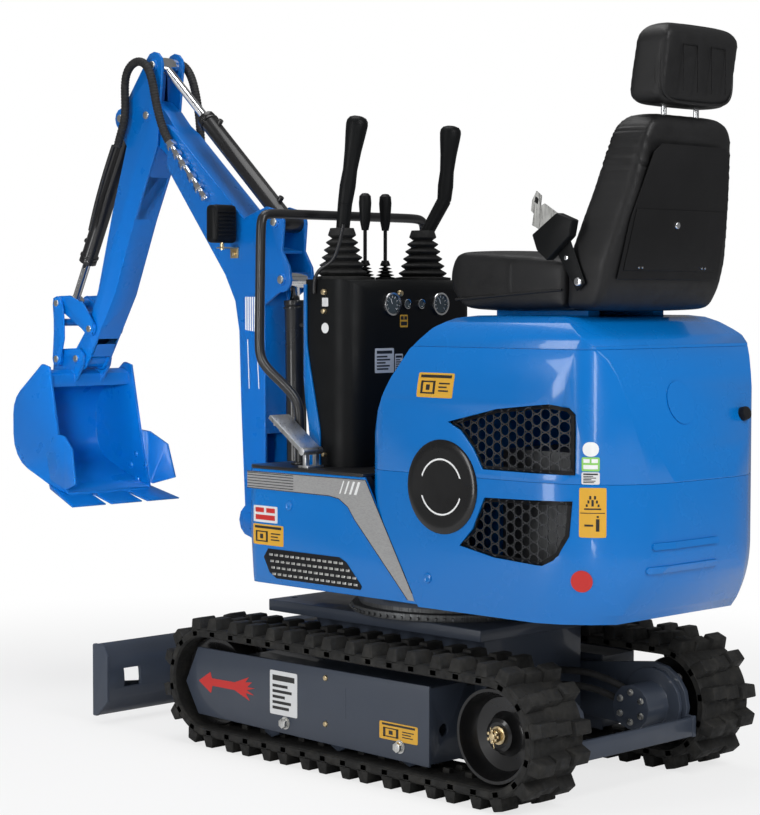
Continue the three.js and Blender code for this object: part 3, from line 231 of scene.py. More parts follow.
def add_box(bm, low, high, bevel=0.0, turn=None, segments=2):
    low, high = Vector(low), Vector(high)
    size = high - low
    matrix = Matrix.Translation((low + high) / 2) @ (turn or Matrix()) @ Matrix.Diagonal((*size, 1))
    verts = bmesh.ops.create_cube(bm, size=1.0, matrix=matrix)["verts"]
    if bevel:
        edges = {edge for vert in verts for edge in vert.link_edges}
        bmesh.ops.bevel(bm, geom=list(edges), offset=bevel, segments=segments, profile=0.5,
                        affect="EDGES", material=-1, clamp_overlap=True)
    return verts


def add_rod(bm, start, end, radius, end_radius=None, sides=24, bevel=0.0):
    start, end = Vector(start), Vector(end)
    along = end - start
    matrix = Matrix.Translation((start + end) / 2) @ rotation_to(along)
    verts = bmesh.ops.create_cone(
        bm, cap_ends=True, segments=sides, radius1=radius,
        radius2=radius if end_radius is None else end_radius, depth=along.length, matrix=matrix)["verts"]
    if bevel:
        rims = {edge for vert in verts for edge in vert.link_edges
                if any(len(face.verts) > 4 for face in edge.link_faces)}
        bmesh.ops.bevel(bm, geom=list(rims), offset=bevel, segments=2, profile=0.5,
                        affect="EDGES", material=-1, clamp_overlap=True)
    return verts


def add_turned(bm, profile, centre, axis=(0, 0, 1), steps=48):
    """Spins a profile of (radius, height) pairs about an axis through the centre."""
    matrix = Matrix.Translation(Vector(centre)) @ rotation_to(axis)
    verts = [bm.verts.new(matrix @ Vector((radius, 0, height))) for radius, height in profile]
    edges = [bm.edges.new(pair) for pair in zip(verts, verts[1:])]
    spun = bmesh.ops.spin(bm, geom=verts + edges, cent=Vector(centre), axis=Vector(axis).normalized(),
                          angle=math.tau, steps=steps, use_merge=True)
    made = {element for element in spun["geom_last"] if isinstance(element, bmesh.types.BMVert)}
    bmesh.ops.remove_doubles(bm, verts=bm.verts, dist=1e-6)
    return made


def add_outline(bm, corners, depth):
    """A flat outline pushed through by a depth vector."""
    verts = [bm.verts.new(Vector(corner)) for corner in corners]
    face = bm.faces.new(verts)
    grown = bmesh.ops.extrude_face_region(bm, geom=[face])["geom"]
    moved = [element for element in grown if isinstance(element, bmesh.types.BMVert)]
    bmesh.ops.translate(bm, verts=moved, vec=Vector(depth))
    return verts + moved


def add_hex_bolt(bm, centre, axis, across=0.019, height=0.007):
    centre, axis = Vector(centre), Vector(axis).normalized()
    add_rod(bm, centre, centre + axis * 0.0016, across * 0.72, sides=24)
    add_rod(bm, centre + axis * 0.0012, centre + axis * height, across / 1.732, sides=6, bevel=0.0008)


def smooth(mesh, angle=38):
    mesh.polygons.foreach_set("use_smooth", [True] * len(mesh.polygons))
    mesh.set_sharp_from_angle(angle=math.radians(angle))


def piece(name, bm, material, body, hides=(), angle=38, tidy=True):
    if tidy:
        bmesh.ops.remove_doubles(bm, verts=bm.verts, dist=1e-6)
        bmesh.ops.recalc_face_normals(bm, faces=bm.faces)
    mesh = bpy.data.meshes.new(name)
    bm.to_mesh(mesh)
    bm.free()
    smooth(mesh, angle)
    mesh.materials.append(material)
    return settle(bpy.data.objects.new(name, mesh), body, hides)


def settle(obj, body, hides=()):
    if obj.name not in bpy.context.scene.collection.objects:
        bpy.context.scene.collection.objects.link(obj)
    if body:
        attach(obj, body)
    if hides:
        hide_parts(*hides)
    return obj


def merged_copy(node):
    bm = bmesh.new()
    bm.from_mesh(frame["nodes"][node].data)
    bmesh.ops.remove_doubles(bm, verts=bm.verts, dist=2e-5)
    bmesh.ops.dissolve_limit(bm, angle_limit=math.radians(0.6), verts=bm.verts, edges=bm.edges)
    return bm


def eased(node, material, bevel=0.0012, sharp=32, angle=38):
    """A copy of a node with its sharp edges broken and its curves shaded smooth."""
    bm = merged_copy(node)
    if bevel:
        edges = [edge for edge in bm.edges
                 if len(edge.link_faces) == 2 and edge.calc_face_angle(0) > math.radians(sharp)
                 and edge.calc_length() > bevel * 2.2]
        bmesh.ops.bevel(bm, geom=edges, offset=bevel, segments=2, profile=0.5, affect="EDGES",
                        material=-1, clamp_overlap=False)
    return piece(f"{node}_skin", bm, material, BODY_OF[node], (node,), angle, tidy=False)


def swept(name, points, resolution, radius=0.0):
    """The mesh of a curve through points: a closed tube, or a bare line when it has no radius."""
    curve = bpy.data.curves.new(f"{name}_path", "CURVE")
    curve.dimensions = "3D"
    curve.resolution_u = resolution
    if radius:
        curve.bevel_depth = radius
        curve.bevel_resolution = 5
        curve.use_fill_caps = True
    spline = curve.splines.new("NURBS")
    spline.points.add(len(points) - 1)
    for target, point in zip(spline.points, points):
        target.co = (*point, 1)
    spline.use_endpoint_u = True
    spline.order_u = 4
    temporary = bpy.data.objects.new(f"{name}_temporary", curve)
    bpy.context.scene.collection.objects.link(temporary)
    bpy.context.view_layer.update()
    graph = bpy.context.evaluated_depsgraph_get()
    mesh = bpy.data.meshes.new_from_object(temporary.evaluated_get(graph), depsgraph=graph)
    bpy.data.objects.remove(temporary)
    bpy.data.curves.remove(curve)
    return mesh


def tube(name, points, radius, material, body, hides=(), resolution=10):
    """A round hose or bent tube through points."""
    mesh = swept(name, points, resolution, radius)
    mesh.name = name
    mesh.materials.clear()
    mesh.materials.append(material)
    smooth(mesh, 50)
    return settle(bpy.data.objects.new(name, mesh), body, hides)


def wound(name, points, radius, material, body, pitch=0.0085):
    """A hose in a spiral sleeve: its radius swells once every pitch along the path."""
    line = swept(name, points, 24)
    path = [vert.co.copy() for vert in line.vertices]
    bpy.data.meshes.remove(line)
    spots, spare = [path[0]], 0.0
    step = pitch / 6
    for a, b in zip(path, path[1:]):
        length = (b - a).length
        travelled = step - spare
        while travelled <= length and length > 0:
            spots.append(a.lerp(b, travelled / length))
            travelled += step
        spare = length - (travelled - step)
    bm = bmesh.new()
    last, across = None, Vector((0, 1, 0))
    sides = 14
    for index, spot in enumerate(spots):
        ahead = (spots[min(index + 1, len(spots) - 1)] - spots[max(index - 1, 0)]).normalized()
        across = (across - ahead * across.dot(ahead)).normalized()
        other = ahead.cross(across)
        size = radius * (0.9 + 0.13 * abs(math.sin(math.pi * index / 6)))
        turns = [math.tau * k / sides for k in range(sides)]
        ring = [bm.verts.new(spot + (across * math.cos(turn) + other * math.sin(turn)) * size) for turn in turns]
        if last:
            for k in range(sides):
                bm.faces.new((last[k], last[(k + 1) % sides], ring[(k + 1) % sides], ring[k]))
        else:
            bm.faces.new(ring)
        last = ring
    bm.faces.new(reversed(last))
    return piece(name, bm, material, body, angle=60)


def sticker(name, centre, right, up, half, material, body, target, corner=0.004, lift=0.0004):
    """A thin rounded sticker laid on a curved surface by casting each point onto the target."""
    centre, right, up = Vector(centre), Vector(right).normalized(), Vector(up).normalized()
    outward = right.cross(up)
    half_width, half_height = half
    bm = bmesh.new()
    cell = min(0.006, half_width / 4, half_height / 4)
    rows, columns = (math.ceil(half_side * 2 / cell) for half_side in (half_height, half_width))
    bmesh.ops.create_grid(bm, x_segments=columns, y_segments=rows, size=0.5)
    for vert in bm.verts:
        x, y = vert.co.x * 2 * half_width, vert.co.y * 2 * half_height
        over_x, over_y = abs(x) - (half_width - corner), abs(y) - (half_height - corner)
        if over_x > 0 and over_y > 0:
            shrink = corner / max(math.hypot(over_x, over_y), corner)
            x = math.copysign(half_width - corner + over_x * shrink, x)
            y = math.copysign(half_height - corner + over_y * shrink, y)
        vert.co = centre + right * x + up * y + outward * 0.05
    lay_on(bm, target, -outward, lift)
    return piece(name, bm, material, body, tidy=False)


def disc_sticker(name, centre, axis, radius, material, body, target, lift=0.0006):
    axis = Vector(axis).normalized()
    bm = bmesh.new()
    profile = [(0, 0.05)] + [(radius * step / 5, 0.05) for step in range(1, 6)]
    add_turned(bm, profile, centre, axis, 40)
    lay_on(bm, target, -axis, lift)
    return piece(name, bm, material, body, tidy=False)


# Pictograms and lines of a label, in shares of its half width and half height.
PRINTS = {
    "lines": [(-0.8, 0.55, 0.8, 0.8), (-0.8, 0.25, 0.3, 0.38), (-0.8, 0.0, 0.6, 0.13), (-0.8, -0.25, 0.1, -0.12),
              (-0.8, -0.5, 0.55, -0.37), (-0.8, -0.75, 0.4, -0.62)],
    "panels": [(-0.86, 0.6, 0.86, 0.84), (-0.8, -0.7, -0.68, 0.35), (-0.12, -0.7, 0.0, 0.35), (-0.8, 0.23, 0.0, 0.35),
               (-0.8, -0.7, 0.0, -0.58), (-0.5, -0.4, -0.3, 0.05), (0.2, 0.1, 0.8, 0.22), (0.2, -0.2, 0.65, -0.08),
               (0.2, -0.5, 0.75, -0.38)],
    "triangle": [(-0.62, 0.12, 0.62, 0.18), (-0.5, 0.24, -0.36, 0.34), (-0.38, 0.38, -0.24, 0.5),
                 (-0.25, 0.54, -0.1, 0.68),
                 (0.1, 0.54, 0.25, 0.68), (0.24, 0.38, 0.38, 0.5), (0.36, 0.24, 0.5, 0.34), (-0.08, 0.26, 0.08, 0.52),
                 (-0.9, -0.03, 0.9, 0.0), (0.25, -0.75, 0.5, -0.25), (-0.6, -0.55, 0.05, -0.47),
                 (0.3, -0.2, 0.45, -0.12)],
    "blocks": [(-0.8, 0.2, -0.1, 0.75), (0.1, 0.2, 0.8, 0.75), (-0.8, -0.7, 0.8, -0.1)],
}


def label(name, centre, right, up, half, ground, ink, print_name, body, target, corner=0.003, lift=0.0005):
    """A sticker with its print laid over it."""
    sticker(name, centre, right, up, half, FINISH[ground], body, target, corner, lift)
    centre, right, up = Vector(centre), Vector(right).normalized(), Vector(up).normalized()
    bm = bmesh.new()
    for left, low, far, high in PRINTS[print_name]:
        cells = bmesh.new()
        bmesh.ops.create_grid(cells, x_segments=max(1, round((far - left) * half[0] / 0.006)),
                              y_segments=max(1, round((high - low) * half[1] / 0.006)), size=0.5)
        for vert in cells.verts:
            x = (left + (far - left) * (vert.co.x + 0.5)) * half[0]
            y = (low + (high - low) * (vert.co.y + 0.5)) * half[1]
            vert.co = centre + right * x + up * y + right.cross(up) * 0.05
        mesh = bpy.data.meshes.new("cells")
        cells.to_mesh(mesh)
        cells.free()
        bm.from_mesh(mesh)
        bpy.data.meshes.remove(mesh)
    lay_on(bm, target, -right.cross(up), lift + 0.0004)
    return piece(f"{name}_print", bm, FINISH[ink], body, tidy=False)


def lay_on(bm, target, direction, lift):
    """Drops the mesh onto the target's surface and gives it the thickness of a film."""
    source = bmesh.new()
    source.from_mesh(target.data)
    tree = BVHTree.FromBMesh(source)
    fall = 0.05
    for vert in bm.verts:
        hit, _, _, distance = tree.ray_cast(vert.co, direction, 0.2)
        if hit is not None:
            fall = distance
        vert.co = vert.co + direction * (fall - lift)
    source.free()
    bmesh.ops.recalc_face_normals(bm, faces=bm.faces)
    if sum((face.normal for face in bm.faces), Vector()).dot(direction) > 0:
        bmesh.ops.reverse_faces(bm, faces=bm.faces)
    bmesh.ops.translate(bm, verts=bm.verts, vec=direction * lift * 0.8)
    thicken(bm, -direction * lift * 0.8)


def thicken(bm, rise):
    """Raises a sheet from its own outline, leaving walls round its edges."""
    grown = bmesh.ops.extrude_face_region(bm, geom=list(bm.faces))["geom"]
    bmesh.ops.translate(bm, verts=[item for item in grown if isinstance(item, bmesh.types.BMVert)], vec=rise)


# ------------------------------------------------------------------ settings

class DiggerSettings(bpy.types.PropertyGroup):
    """Sizes and colours that the building steps read"""
    hood_colour: FloatVectorProperty(
        name="Hood blue", description="Enamel of the hood, panels and cowl",
        subtype="COLOR", size=3, default=(0.0004, 0.168, 0.56), min=0, max=1)
    boom_colour: FloatVectorProperty(
        name="Boom blue", description="Enamel of the boom, arm and bucket",
        subtype="COLOR", size=3, default=(0.0006, 0.142, 0.53), min=0, max=1)
    chassis_colour: FloatVectorProperty(
        name="Chassis grey", description="Enamel of the undercarriage and the blade",
        subtype="COLOR", size=3, default=(0.044, 0.055, 0.078), min=0, max=1)
    edge_break: FloatProperty(
        name="Edge break", description="Width of the broken edge on plates",
        unit="LENGTH", default=0.0014, min=0.0002, max=0.004)
    crown: FloatProperty(
        name="Cushion crown", description="How far the seat's pads stand proud in the middle",
        unit="LENGTH", default=0.014, min=0, max=0.04)


def settings():
    return bpy.context.scene.digger_looks


FINISH = {}


def mix_finishes():
    chosen = settings()
    hood, boom, grey = (tuple(chosen.hood_colour), tuple(chosen.boom_colour), tuple(chosen.chassis_colour))
    FINISH.update(
        hood=enamel("hood_enamel", hood, 0.24, 0.42),
        boom=enamel("boom_enamel", boom, 0.3, 0.25),
        chassis=enamel("chassis_enamel", grey, 0.42, 0.25),
        barrel=enamel("barrel_enamel", (0.012, 0.012, 0.013), 0.3, 0.4),
        casting=enamel("casting_black", (0.007, 0.007, 0.0075), 0.28, 0.3),
        rail=enamel("rail_black", (0.014, 0.014, 0.015), 0.35, 0.3),
        track=worn_rubber("track_rubber", (0.01, 0.01, 0.0095), (0.045, 0.042, 0.036), 0.4),
        bellows=worn_rubber("bellows_rubber", (0.012, 0.012, 0.012), (0.03, 0.03, 0.03), 0.2),
        hose=worn_rubber("hose_rubber", (0.016, 0.016, 0.017), (0.05, 0.05, 0.05), 0.25),
        console=moulded("console_plastic", (0.006, 0.0065, 0.007), 0.42, 900, 0.0003),
        trim=moulded("trim_plastic", (0.013, 0.0135, 0.015), 0.42, 1200, 0.0002),
        leather=leatherette("seat_leatherette", (0.008, 0.008, 0.0085)),
        shell=moulded("seat_shell_plastic", (0.009, 0.009, 0.0095), 0.42, 1000, 0.0005),
        chrome=bare_metal("chrome", (0.75, 0.76, 0.78), 0.12, 0.05),
        zinc=bare_metal("zinc_plate", (0.62, 0.62, 0.6), 0.3, 0.2),
        brass=bare_metal("yellow_zinc", (0.62, 0.5, 0.3), 0.34, 0.2),
        steel=bare_metal("worn_steel", (0.4, 0.41, 0.42), 0.38, 0.4),
        casting_iron=bare_metal("grey_iron", (0.16, 0.165, 0.17), 0.55, 0.5),
        pedal=bare_metal("pedal_aluminium", (0.6, 0.61, 0.62), 0.35, 0.4),
        yellow=printed("yellow_film", (0.72, 0.39, 0.03)),
        white=printed("white_film", (0.72, 0.73, 0.74)),
        rim=moulded("rim_plastic", (0.004, 0.004, 0.0045), 0.4, 1200, 0.0002),
        ink=printed("black_ink", (0.012, 0.012, 0.012)),
        mesh=moulded("mesh_plastic", (0.05, 0.052, 0.056), 0.35, 1200, 0.0002),
        green=printed("green_film", (0.25, 0.6, 0.12)),
        red=printed("red_film", (0.55, 0.018, 0.014)),
        grey=printed("silver_band", (0.34, 0.34, 0.34), (0.2, 0.2, 0.2), 120, 0.4),
        bright=printed("white_ink", (0.85, 0.86, 0.86)),
        glass=Shader("gauge_glass", (0.05, 0.07, 0.08), 0.08).material,
    )


# ------------------------------------------------------------------ undercarriage

AXLE_Z = 168
BAND_R = 139.5
WHEELS = 972
SHOES = 40
BAND_THICK = 24
LUG = 28.5


def loop_place(along, height):
    """Where a point of the laid-out track ends up on the closed loop, in millimetres."""
    turn = math.pi * BAND_R
    along %= 2 * (WHEELS + turn)
    radius = BAND_R + height
    half = WHEELS / 2
    if along < WHEELS:
        return along - half, AXLE_Z - radius
    if along < WHEELS + turn:
        angle = (along - WHEELS) / BAND_R - math.pi / 2
        return half + radius * math.cos(angle), AXLE_Z + radius * math.sin(angle)
    if along < 2 * WHEELS + turn:
        return half - (along - WHEELS - turn), AXLE_Z + radius
    angle = (along - 2 * WHEELS - turn) / BAND_R + math.pi / 2
    return -half + radius * math.cos(angle), AXLE_Z + radius * math.sin(angle)


def rubber_track(name, side):
    """Lays the track out flat, shoe by shoe, then wraps every point round the loop."""
    pitch = 2 * (WHEELS + math.pi * BAND_R) / SHOES
    steps = 6
    bm = bmesh.new()
    section = [(-90, -20), (-84, -BAND_THICK + 0.5), (84, -BAND_THICK + 0.5), (90, -20), (90, -6), (84, 0),
               (-84, 0), (-90, -6)]
    ring = [bm.verts.new((0, y, h)) for y, h in section]
    rim = [bm.edges.new((a, b)) for a, b in zip(ring, ring[1:] + ring[:1])]
    front = rim
    for _ in range(SHOES * steps):
        grown = bmesh.ops.extrude_edge_only(bm, edges=front)["geom"]
        verts = [g for g in grown if isinstance(g, bmesh.types.BMVert)]
        front = [g for g in grown if isinstance(g, bmesh.types.BMEdge)]
        bmesh.ops.translate(bm, verts=verts, vec=(pitch / steps, 0, 0))
    for shoe in range(SHOES):
        middle = (shoe + 0.5) * pitch
        for y_low, y_high, shift in ((-89, -26, -5), (-30, 30, 0), (26, 89, 5)):
            centre = middle + shift * (1 if shoe % 2 else -1)
            crown = LUG - 1 if abs(y_low + y_high) > 20 else LUG - 7
            verts = add_box(bm, (centre - 19, y_low, -2), (centre + 19, y_high, crown))
            for vert in verts:
                if vert.co.z > 0:
                    vert.co.x = centre + (vert.co.x - centre) * 0.66
                    vert.co.y = (y_low + y_high) / 2 + (vert.co.y - (y_low + y_high) / 2) * 0.86
            edges = {edge for vert in verts for edge in vert.link_edges if edge.verts[0].co.z + edge.verts[1].co.z > 2}
            bmesh.ops.bevel(bm, geom=list(edges), offset=2.6, segments=2, profile=0.5, affect="EDGES",
                            material=-1, clamp_overlap=True)
        for y in (-88, 88):
            add_box(bm, (middle - 10, y - 2, -19), (middle + 10, y + 2, -3), 1.2)
        for y in (-22, 22):
            add_box(bm, (middle - 11, y - 7, -BAND_THICK - 11), (middle + 11, y + 7, -BAND_THICK + 2), 2)
    centre_y = side * (405 - 90)
    for vert in bm.verts:
        x, z = loop_place(vert.co.x, vert.co.z)
        vert.co = place(x, centre_y + vert.co.y, z)
    return piece(name, bm, FINISH["track"], "base", (name.replace("_tread", ""),), 30)


def drive_wheel(name, side):
    """Dished black wheel with a row of rim studs and a castle nut on its shaft."""
    centre = place(-WHEELS / 2, 0, AXLE_Z)
    bm = bmesh.new()
    profile = [(0, 286), (103, 286), (103, 372), (108, 374), (108, 380), (101, 380), (98, 372), (95, 352), (84, 338),
               (52, 332), (44, 338), (38, 356), (30, 360), (22, 358), (0, 358)]
    add_turned(bm, [(r / 1000, y / 1000 * 1) for r, y in profile], Vector((centre.x, 0, centre.z)),
               (0, side, 0), 64)
    for tooth in range(18):
        angle = math.tau * tooth / 18
        start = Vector((centre.x, side * 0.333, centre.z)) + Vector((math.cos(angle), 0, math.sin(angle))) * 0.097
        end = start + Vector((math.cos(angle), 0, math.sin(angle))) * 0.0165
        add_rod(bm, start, end, 0.011, 0.008, 12, 0.001)
    wheel = piece(name, bm, FINISH["casting"], "base", (name.replace("_wheel", ""),))
    nut = bmesh.new()
    face = Vector((centre.x, side * 0.358, centre.z))
    out = Vector((0, side, 0))
    add_rod(nut, face, face + out * 0.004, 0.021, sides=32, bevel=0.0006)
    add_rod(nut, face + out * 0.003, face + out * 0.017, 0.0165, sides=6, bevel=0.001)
    add_rod(nut, face + out * 0.003, face + out * 0.024, 0.0085, sides=20, bevel=0.001)
    for slot in range(6):
        angle = math.tau * (slot + 0.5) / 6
        spoke = Vector((math.cos(angle), 0, math.sin(angle)))
        post = face + out * 0.02 + spoke * 0.0125
        add_box(nut, post - Vector((0.0032, 0.004, 0.0032)), post + Vector((0.0032, 0.004, 0.0032)), 0.0006)
    pin = face + out * 0.0215
    add_rod(nut, pin - Vector((0.006, 0, 0.026)), pin + Vector((0.005, 0, 0.02)), 0.0016, sides=10)
    piece(name.replace("wheel", "nut"), nut, FINISH["brass"], "base")
    return wheel


def front_wheel(name, side):
    centre = place(WHEELS / 2, 0, AXLE_Z)
    bm = bmesh.new()
    profile = [(0, 258.4), (34, 258.4), (36, 262), (40, 268), (88, 276), (96, 272), (112, 272), (114, 276), (114, 354),
               (112, 358), (96, 358), (88, 354), (40, 362), (36, 368), (34, 371.6), (0, 371.6)]
    add_turned(bm, [(r / 1000, y / 1000) for r, y in profile], Vector((centre.x, 0, centre.z)), (0, side, 0), 64)
    return piece(name, bm, FINISH["casting"], "base", (name.replace("_wheel", ""),))


def frame_fittings(side):
    """Bolts, grease plugs, press line, arrow and labels on the outer wall of a track frame."""
    y = 380
    bolts = bmesh.new()
    for x, z in ((201, 101), (-196, 101)):
        add_hex_bolt(bolts, place(x, side * y, z), (0, side, 0), 0.022, 0.014)
    for x, z in ((-486 + 70, 168 + 62), (-486 - 62, 168 + 66), (-486 - 66, 168 - 62)):
        add_hex_bolt(bolts, place(x, side * 222, z), (0, side, 0), 0.016, 0.009)
    name = "left" if side > 0 else "right"
    piece(f"frame_bolts_{name}", bolts, FINISH["zinc"], "base")
    plugs = bmesh.new()
    for x, z in ((57, 232), (57, 119)):
        add_rod(plugs, place(x, side * (y - 1), z), place(x, side * (y + 4), z), 0.008, 0.006, 20, 0.001)
    piece(f"frame_plugs_{name}", plugs, FINISH["brass"], "base")
    weld = bmesh.new()
    add_rod(weld, place(-12, side * (y - 1), 215), place(-12, side * (y - 1), 142), 0.0022, sides=10)
    piece(f"frame_bead_{name}", weld, FINISH["chassis"], "base")
    arrow = bmesh.new()
    outline = [(532, 165), (486, 193), (480, 177), (392, 178), (336, 198), (352, 183), (326, 186), (344, 172),
               (315, 172),
               (346, 164), (318, 154), (350, 156), (334, 138), (392, 158), (478, 158), (484, 138)]
    add_outline(arrow, [place(x, side * (y + 0.05), z) for x, z in outline], (0, side * 0.0004, 0))
    piece(f"frame_arrow_{name}", arrow, FINISH["red"], "base")
    target = frame["nodes"][f"track_frame_{name}"]
    label(f"frame_plate_{name}", place(208, side * 380, 173), (-side, 0, 0), (0, 0, 1), (0.05, 0.055), "white", "ink",
          "lines", "base", target)
    label(f"frame_warning_{name}", place(-191, side * 380, 134), (-side, 0, 0), (0, 0, 1), (0.063, 0.021), "yellow",
          "ink",
          "panels", "base", target)


def motor_fittings():
    """Bolts and feed hoses of the travel motors."""
    for name, side in SIDES:
        low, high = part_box(f"travel_motor_{name}")
        inner = low[1] if side > 0 else high[1]
        middle_x, middle_z = place(-WHEELS / 2, 0, AXLE_Z).x, AXLE_Z / 1000
        bm = bmesh.new()
        for step in range(6):
            angle = math.tau * (step + 0.5) / 6
            centre = Vector((middle_x + 0.036 * math.cos(angle), inner, middle_z + 0.036 * math.sin(angle)))
            add_hex_bolt(bm, centre + Vector((0, side * 0.0005, 0)), (0, -side, 0), 0.012, 0.007)
        piece(f"motor_bolts_{name}", bm, FINISH["zinc"], "base")
        for index, drop in enumerate((18, -18)):
            start = Vector((middle_x + 0.045, inner + side * 0.03, middle_z + drop / 1000 + 0.02))
            path = [start, start + Vector((0.06, -side * 0.02, 0.03)), start + Vector((0.13, -side * 0.05, 0.035)),
                    start + Vector((0.19, -side * 0.075, 0.03)), start + Vector((0.24, -side * 0.1, 0.03))]
            tube(f"motor_hose_{name}_{index}", path, 0.0085, FINISH["hose"], "base", resolution=8)


def ring_bolts():
    """Studs round the slew ring and the toothed edge under the house."""
    bm = bmesh.new()
    for step in range(72):
        angle = math.tau * step / 72
        out = Vector((math.cos(angle), math.sin(angle), 0))
        centre = place(0, 0, 378) + out * 0.2495
        add_rod(bm, centre, centre + out * 0.004, 0.0042, 0.003, 8)
    piece("slew_ring_teeth", bm, FINISH["casting_iron"], "base")


class DIGGER_OT_undercarriage(bpy.types.Operator):
    """Tracks, wheels, frames, motors and the blade"""
    bl_idname = "digger.undercarriage"
    bl_label = "Undercarriage"

    def execute(self, context):
        edge = settings().edge_break
        for name, side in SIDES:
            rubber_track(f"track_{name}_tread", side)
            drive_wheel(f"sprocket_{name}_wheel", side)
            front_wheel(f"idler_{name}_wheel", side)
            eased(f"track_frame_{name}", FINISH["chassis"], edge)
            eased(f"travel_motor_{name}", FINISH["chassis"], edge)
            frame_fittings(side)
        eased("centre_frame", FINISH["chassis"], edge * 2)
        eased("rear_crossbar", FINISH["chassis"], edge * 1.5)
        eased("slew_ring", FINISH["casting_iron"], edge)
        eased("dozer_blade", FINISH["chassis"], edge)
        ring_bolts()
        motor_fittings()
        return {"FINISHED"}


# ------------------------------------------------------------------ hood

VENTS = {
    "upper": [(-300, 868), (-340, 850), (-378, 812), (-408, 764), (-661, 764), (-661, 898), (-648, 912), (-600, 919),
              (-450, 903)],
    "lower": [(-337, 584), (-378, 626), (-414, 700), (-656, 706), (-650, 628), (-627, 584), (-584, 558), (-444, 565)],
}


def flank_height(tree, x, z, side):
    """Where the vent's insert lies at this place, or at its nearest edge."""
    hit = tree.ray_cast(Vector((x, side * 0.4, z)), Vector((0, -side, 0)), 0.3)[0]
    return (hit or tree.find_nearest(Vector((x, side * 0.32, z)))[0]).y


def within(outline, x, z):
    inside = False
    for (ax, az), (bx, bz) in zip(outline, outline[1:] + outline[:1]):
        if (az > z) != (bz > z) and x < (bx - ax) * (z - az) / (bz - az) + ax:
            inside = not inside
    return inside


def nearest_rim(outline, x, z):
    point, best = Vector((x, z)), None
    for a, b in zip(outline, outline[1:] + outline[:1]):
        a, b = Vector(a), Vector(b)
        share = max(0, min(1, (point - a).dot(b - a) / (b - a).length_squared))
        spot = a.lerp(b, share)
        if best is None or (spot - point).length < (best - point).length:
            best = spot
    return best


def honeycomb(level, side, target):
    """A hexagon mesh cut to the vent's outline and laid on the hood's curve."""
    name = "left" if side > 0 else "right"
    node = f"{level}_grille_{name}"
    low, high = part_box(node)
    radius = 0.0155
    bm = bmesh.new()
    rows = int((high[2] - low[2]) / (radius * 1.732)) + 3
    columns = int((high[0] - low[0]) / (radius * 1.5)) + 3
    for column in range(columns):
        for row in range(rows):
            x = low[0] + column * radius * 1.5
            z = low[2] + (row + 0.5 * (column % 2)) * radius * 1.732 - radius
            matrix = Matrix.Translation((x, 0, z)) @ Matrix.Rotation(math.pi / 2, 4, "X")
            bmesh.ops.create_circle(bm, segments=6, radius=radius, cap_ends=True, matrix=matrix)
    bmesh.ops.remove_doubles(bm, verts=bm.verts, dist=radius * 0.08)
    inset = bmesh.ops.inset_individual(bm, faces=list(bm.faces), thickness=0.0019)
    walls = set(inset["faces"])
    bmesh.ops.delete(bm, geom=[face for face in bm.faces if face not in walls], context="FACES")
    outline = [tuple(place(x, 0, z).xz) for x, z in VENTS[level]]
    for vert in list(bm.verts):
        if not within(outline, vert.co.x, vert.co.z):
            spot = nearest_rim(outline, vert.co.x, vert.co.z)
            if (spot - vert.co.xz).length < radius:
                vert.co.x, vert.co.z = spot
            else:
                bm.verts.remove(vert)
    tree_mesh = bmesh.new()
    tree_mesh.from_mesh(target.data)
    tree = BVHTree.FromBMesh(tree_mesh)
    for vert in bm.verts:
        vert.co.y = flank_height(tree, vert.co.x, vert.co.z, side)
    tree_mesh.free()
    bmesh.ops.recalc_face_normals(bm, faces=bm.faces)
    if sum((face.normal for face in bm.faces), Vector()).y * side < 0:
        bmesh.ops.reverse_faces(bm, faces=bm.faces)
    bmesh.ops.translate(bm, verts=bm.verts, vec=(0, -side * 0.003, 0))
    thicken(bm, Vector((0, side * 0.0035, 0)))
    return piece(f"{node}_mesh", bm, FINISH["mesh"], "house", (node,), tidy=False)


def vent_rim(level, side, target):
    """The black lip round a vent."""
    name = "left" if side > 0 else "right"
    bm = bmesh.new()
    corners = [place(x, 0, z) for x, z in VENTS[level]]
    outline = [a.lerp(b, step / 8) for a, b in zip(corners, corners[1:] + corners[:1]) for step in range(8)]
    shape = [tuple(point.xz) for point in corners]
    rings = ([], [])
    for before, point, after in zip(outline[-1:] + outline[:-1], outline, outline[1:] + outline[:1]):
        along = (after - before).normalized()
        normal = Vector((-along.z, 0, along.x))
        probe = point + normal * 0.004
        if not within(shape, probe.x, probe.z):
            normal = -normal
        rings[0].append(bm.verts.new(point))
        rings[1].append(bm.verts.new(point + normal * 0.009))
    count = len(outline)
    for k in range(count):
        bm.faces.new((rings[0][k], rings[0][(k + 1) % count], rings[1][(k + 1) % count], rings[1][k]))
    tree_mesh = bmesh.new()
    tree_mesh.from_mesh(target.data)
    tree = BVHTree.FromBMesh(tree_mesh)
    for vert in bm.verts:
        vert.co.y = flank_height(tree, vert.co.x, vert.co.z, side)
    tree_mesh.free()
    bmesh.ops.recalc_face_normals(bm, faces=bm.faces)
    if sum((f.normal for f in bm.faces), Vector()).y * side < 0:
        bmesh.ops.reverse_faces(bm, faces=bm.faces)
    bmesh.ops.translate(bm, verts=bm.verts, vec=(0, side * 0.0012, 0))
    bmesh.ops.translate(bm, verts=bm.verts, vec=(0, -side * 0.003, 0))
    thicken(bm, Vector((0, side * 0.0035, 0)))
    return piece(f"{level}_vent_rim_{name}", bm, FINISH["rim"], "house", tidy=False)


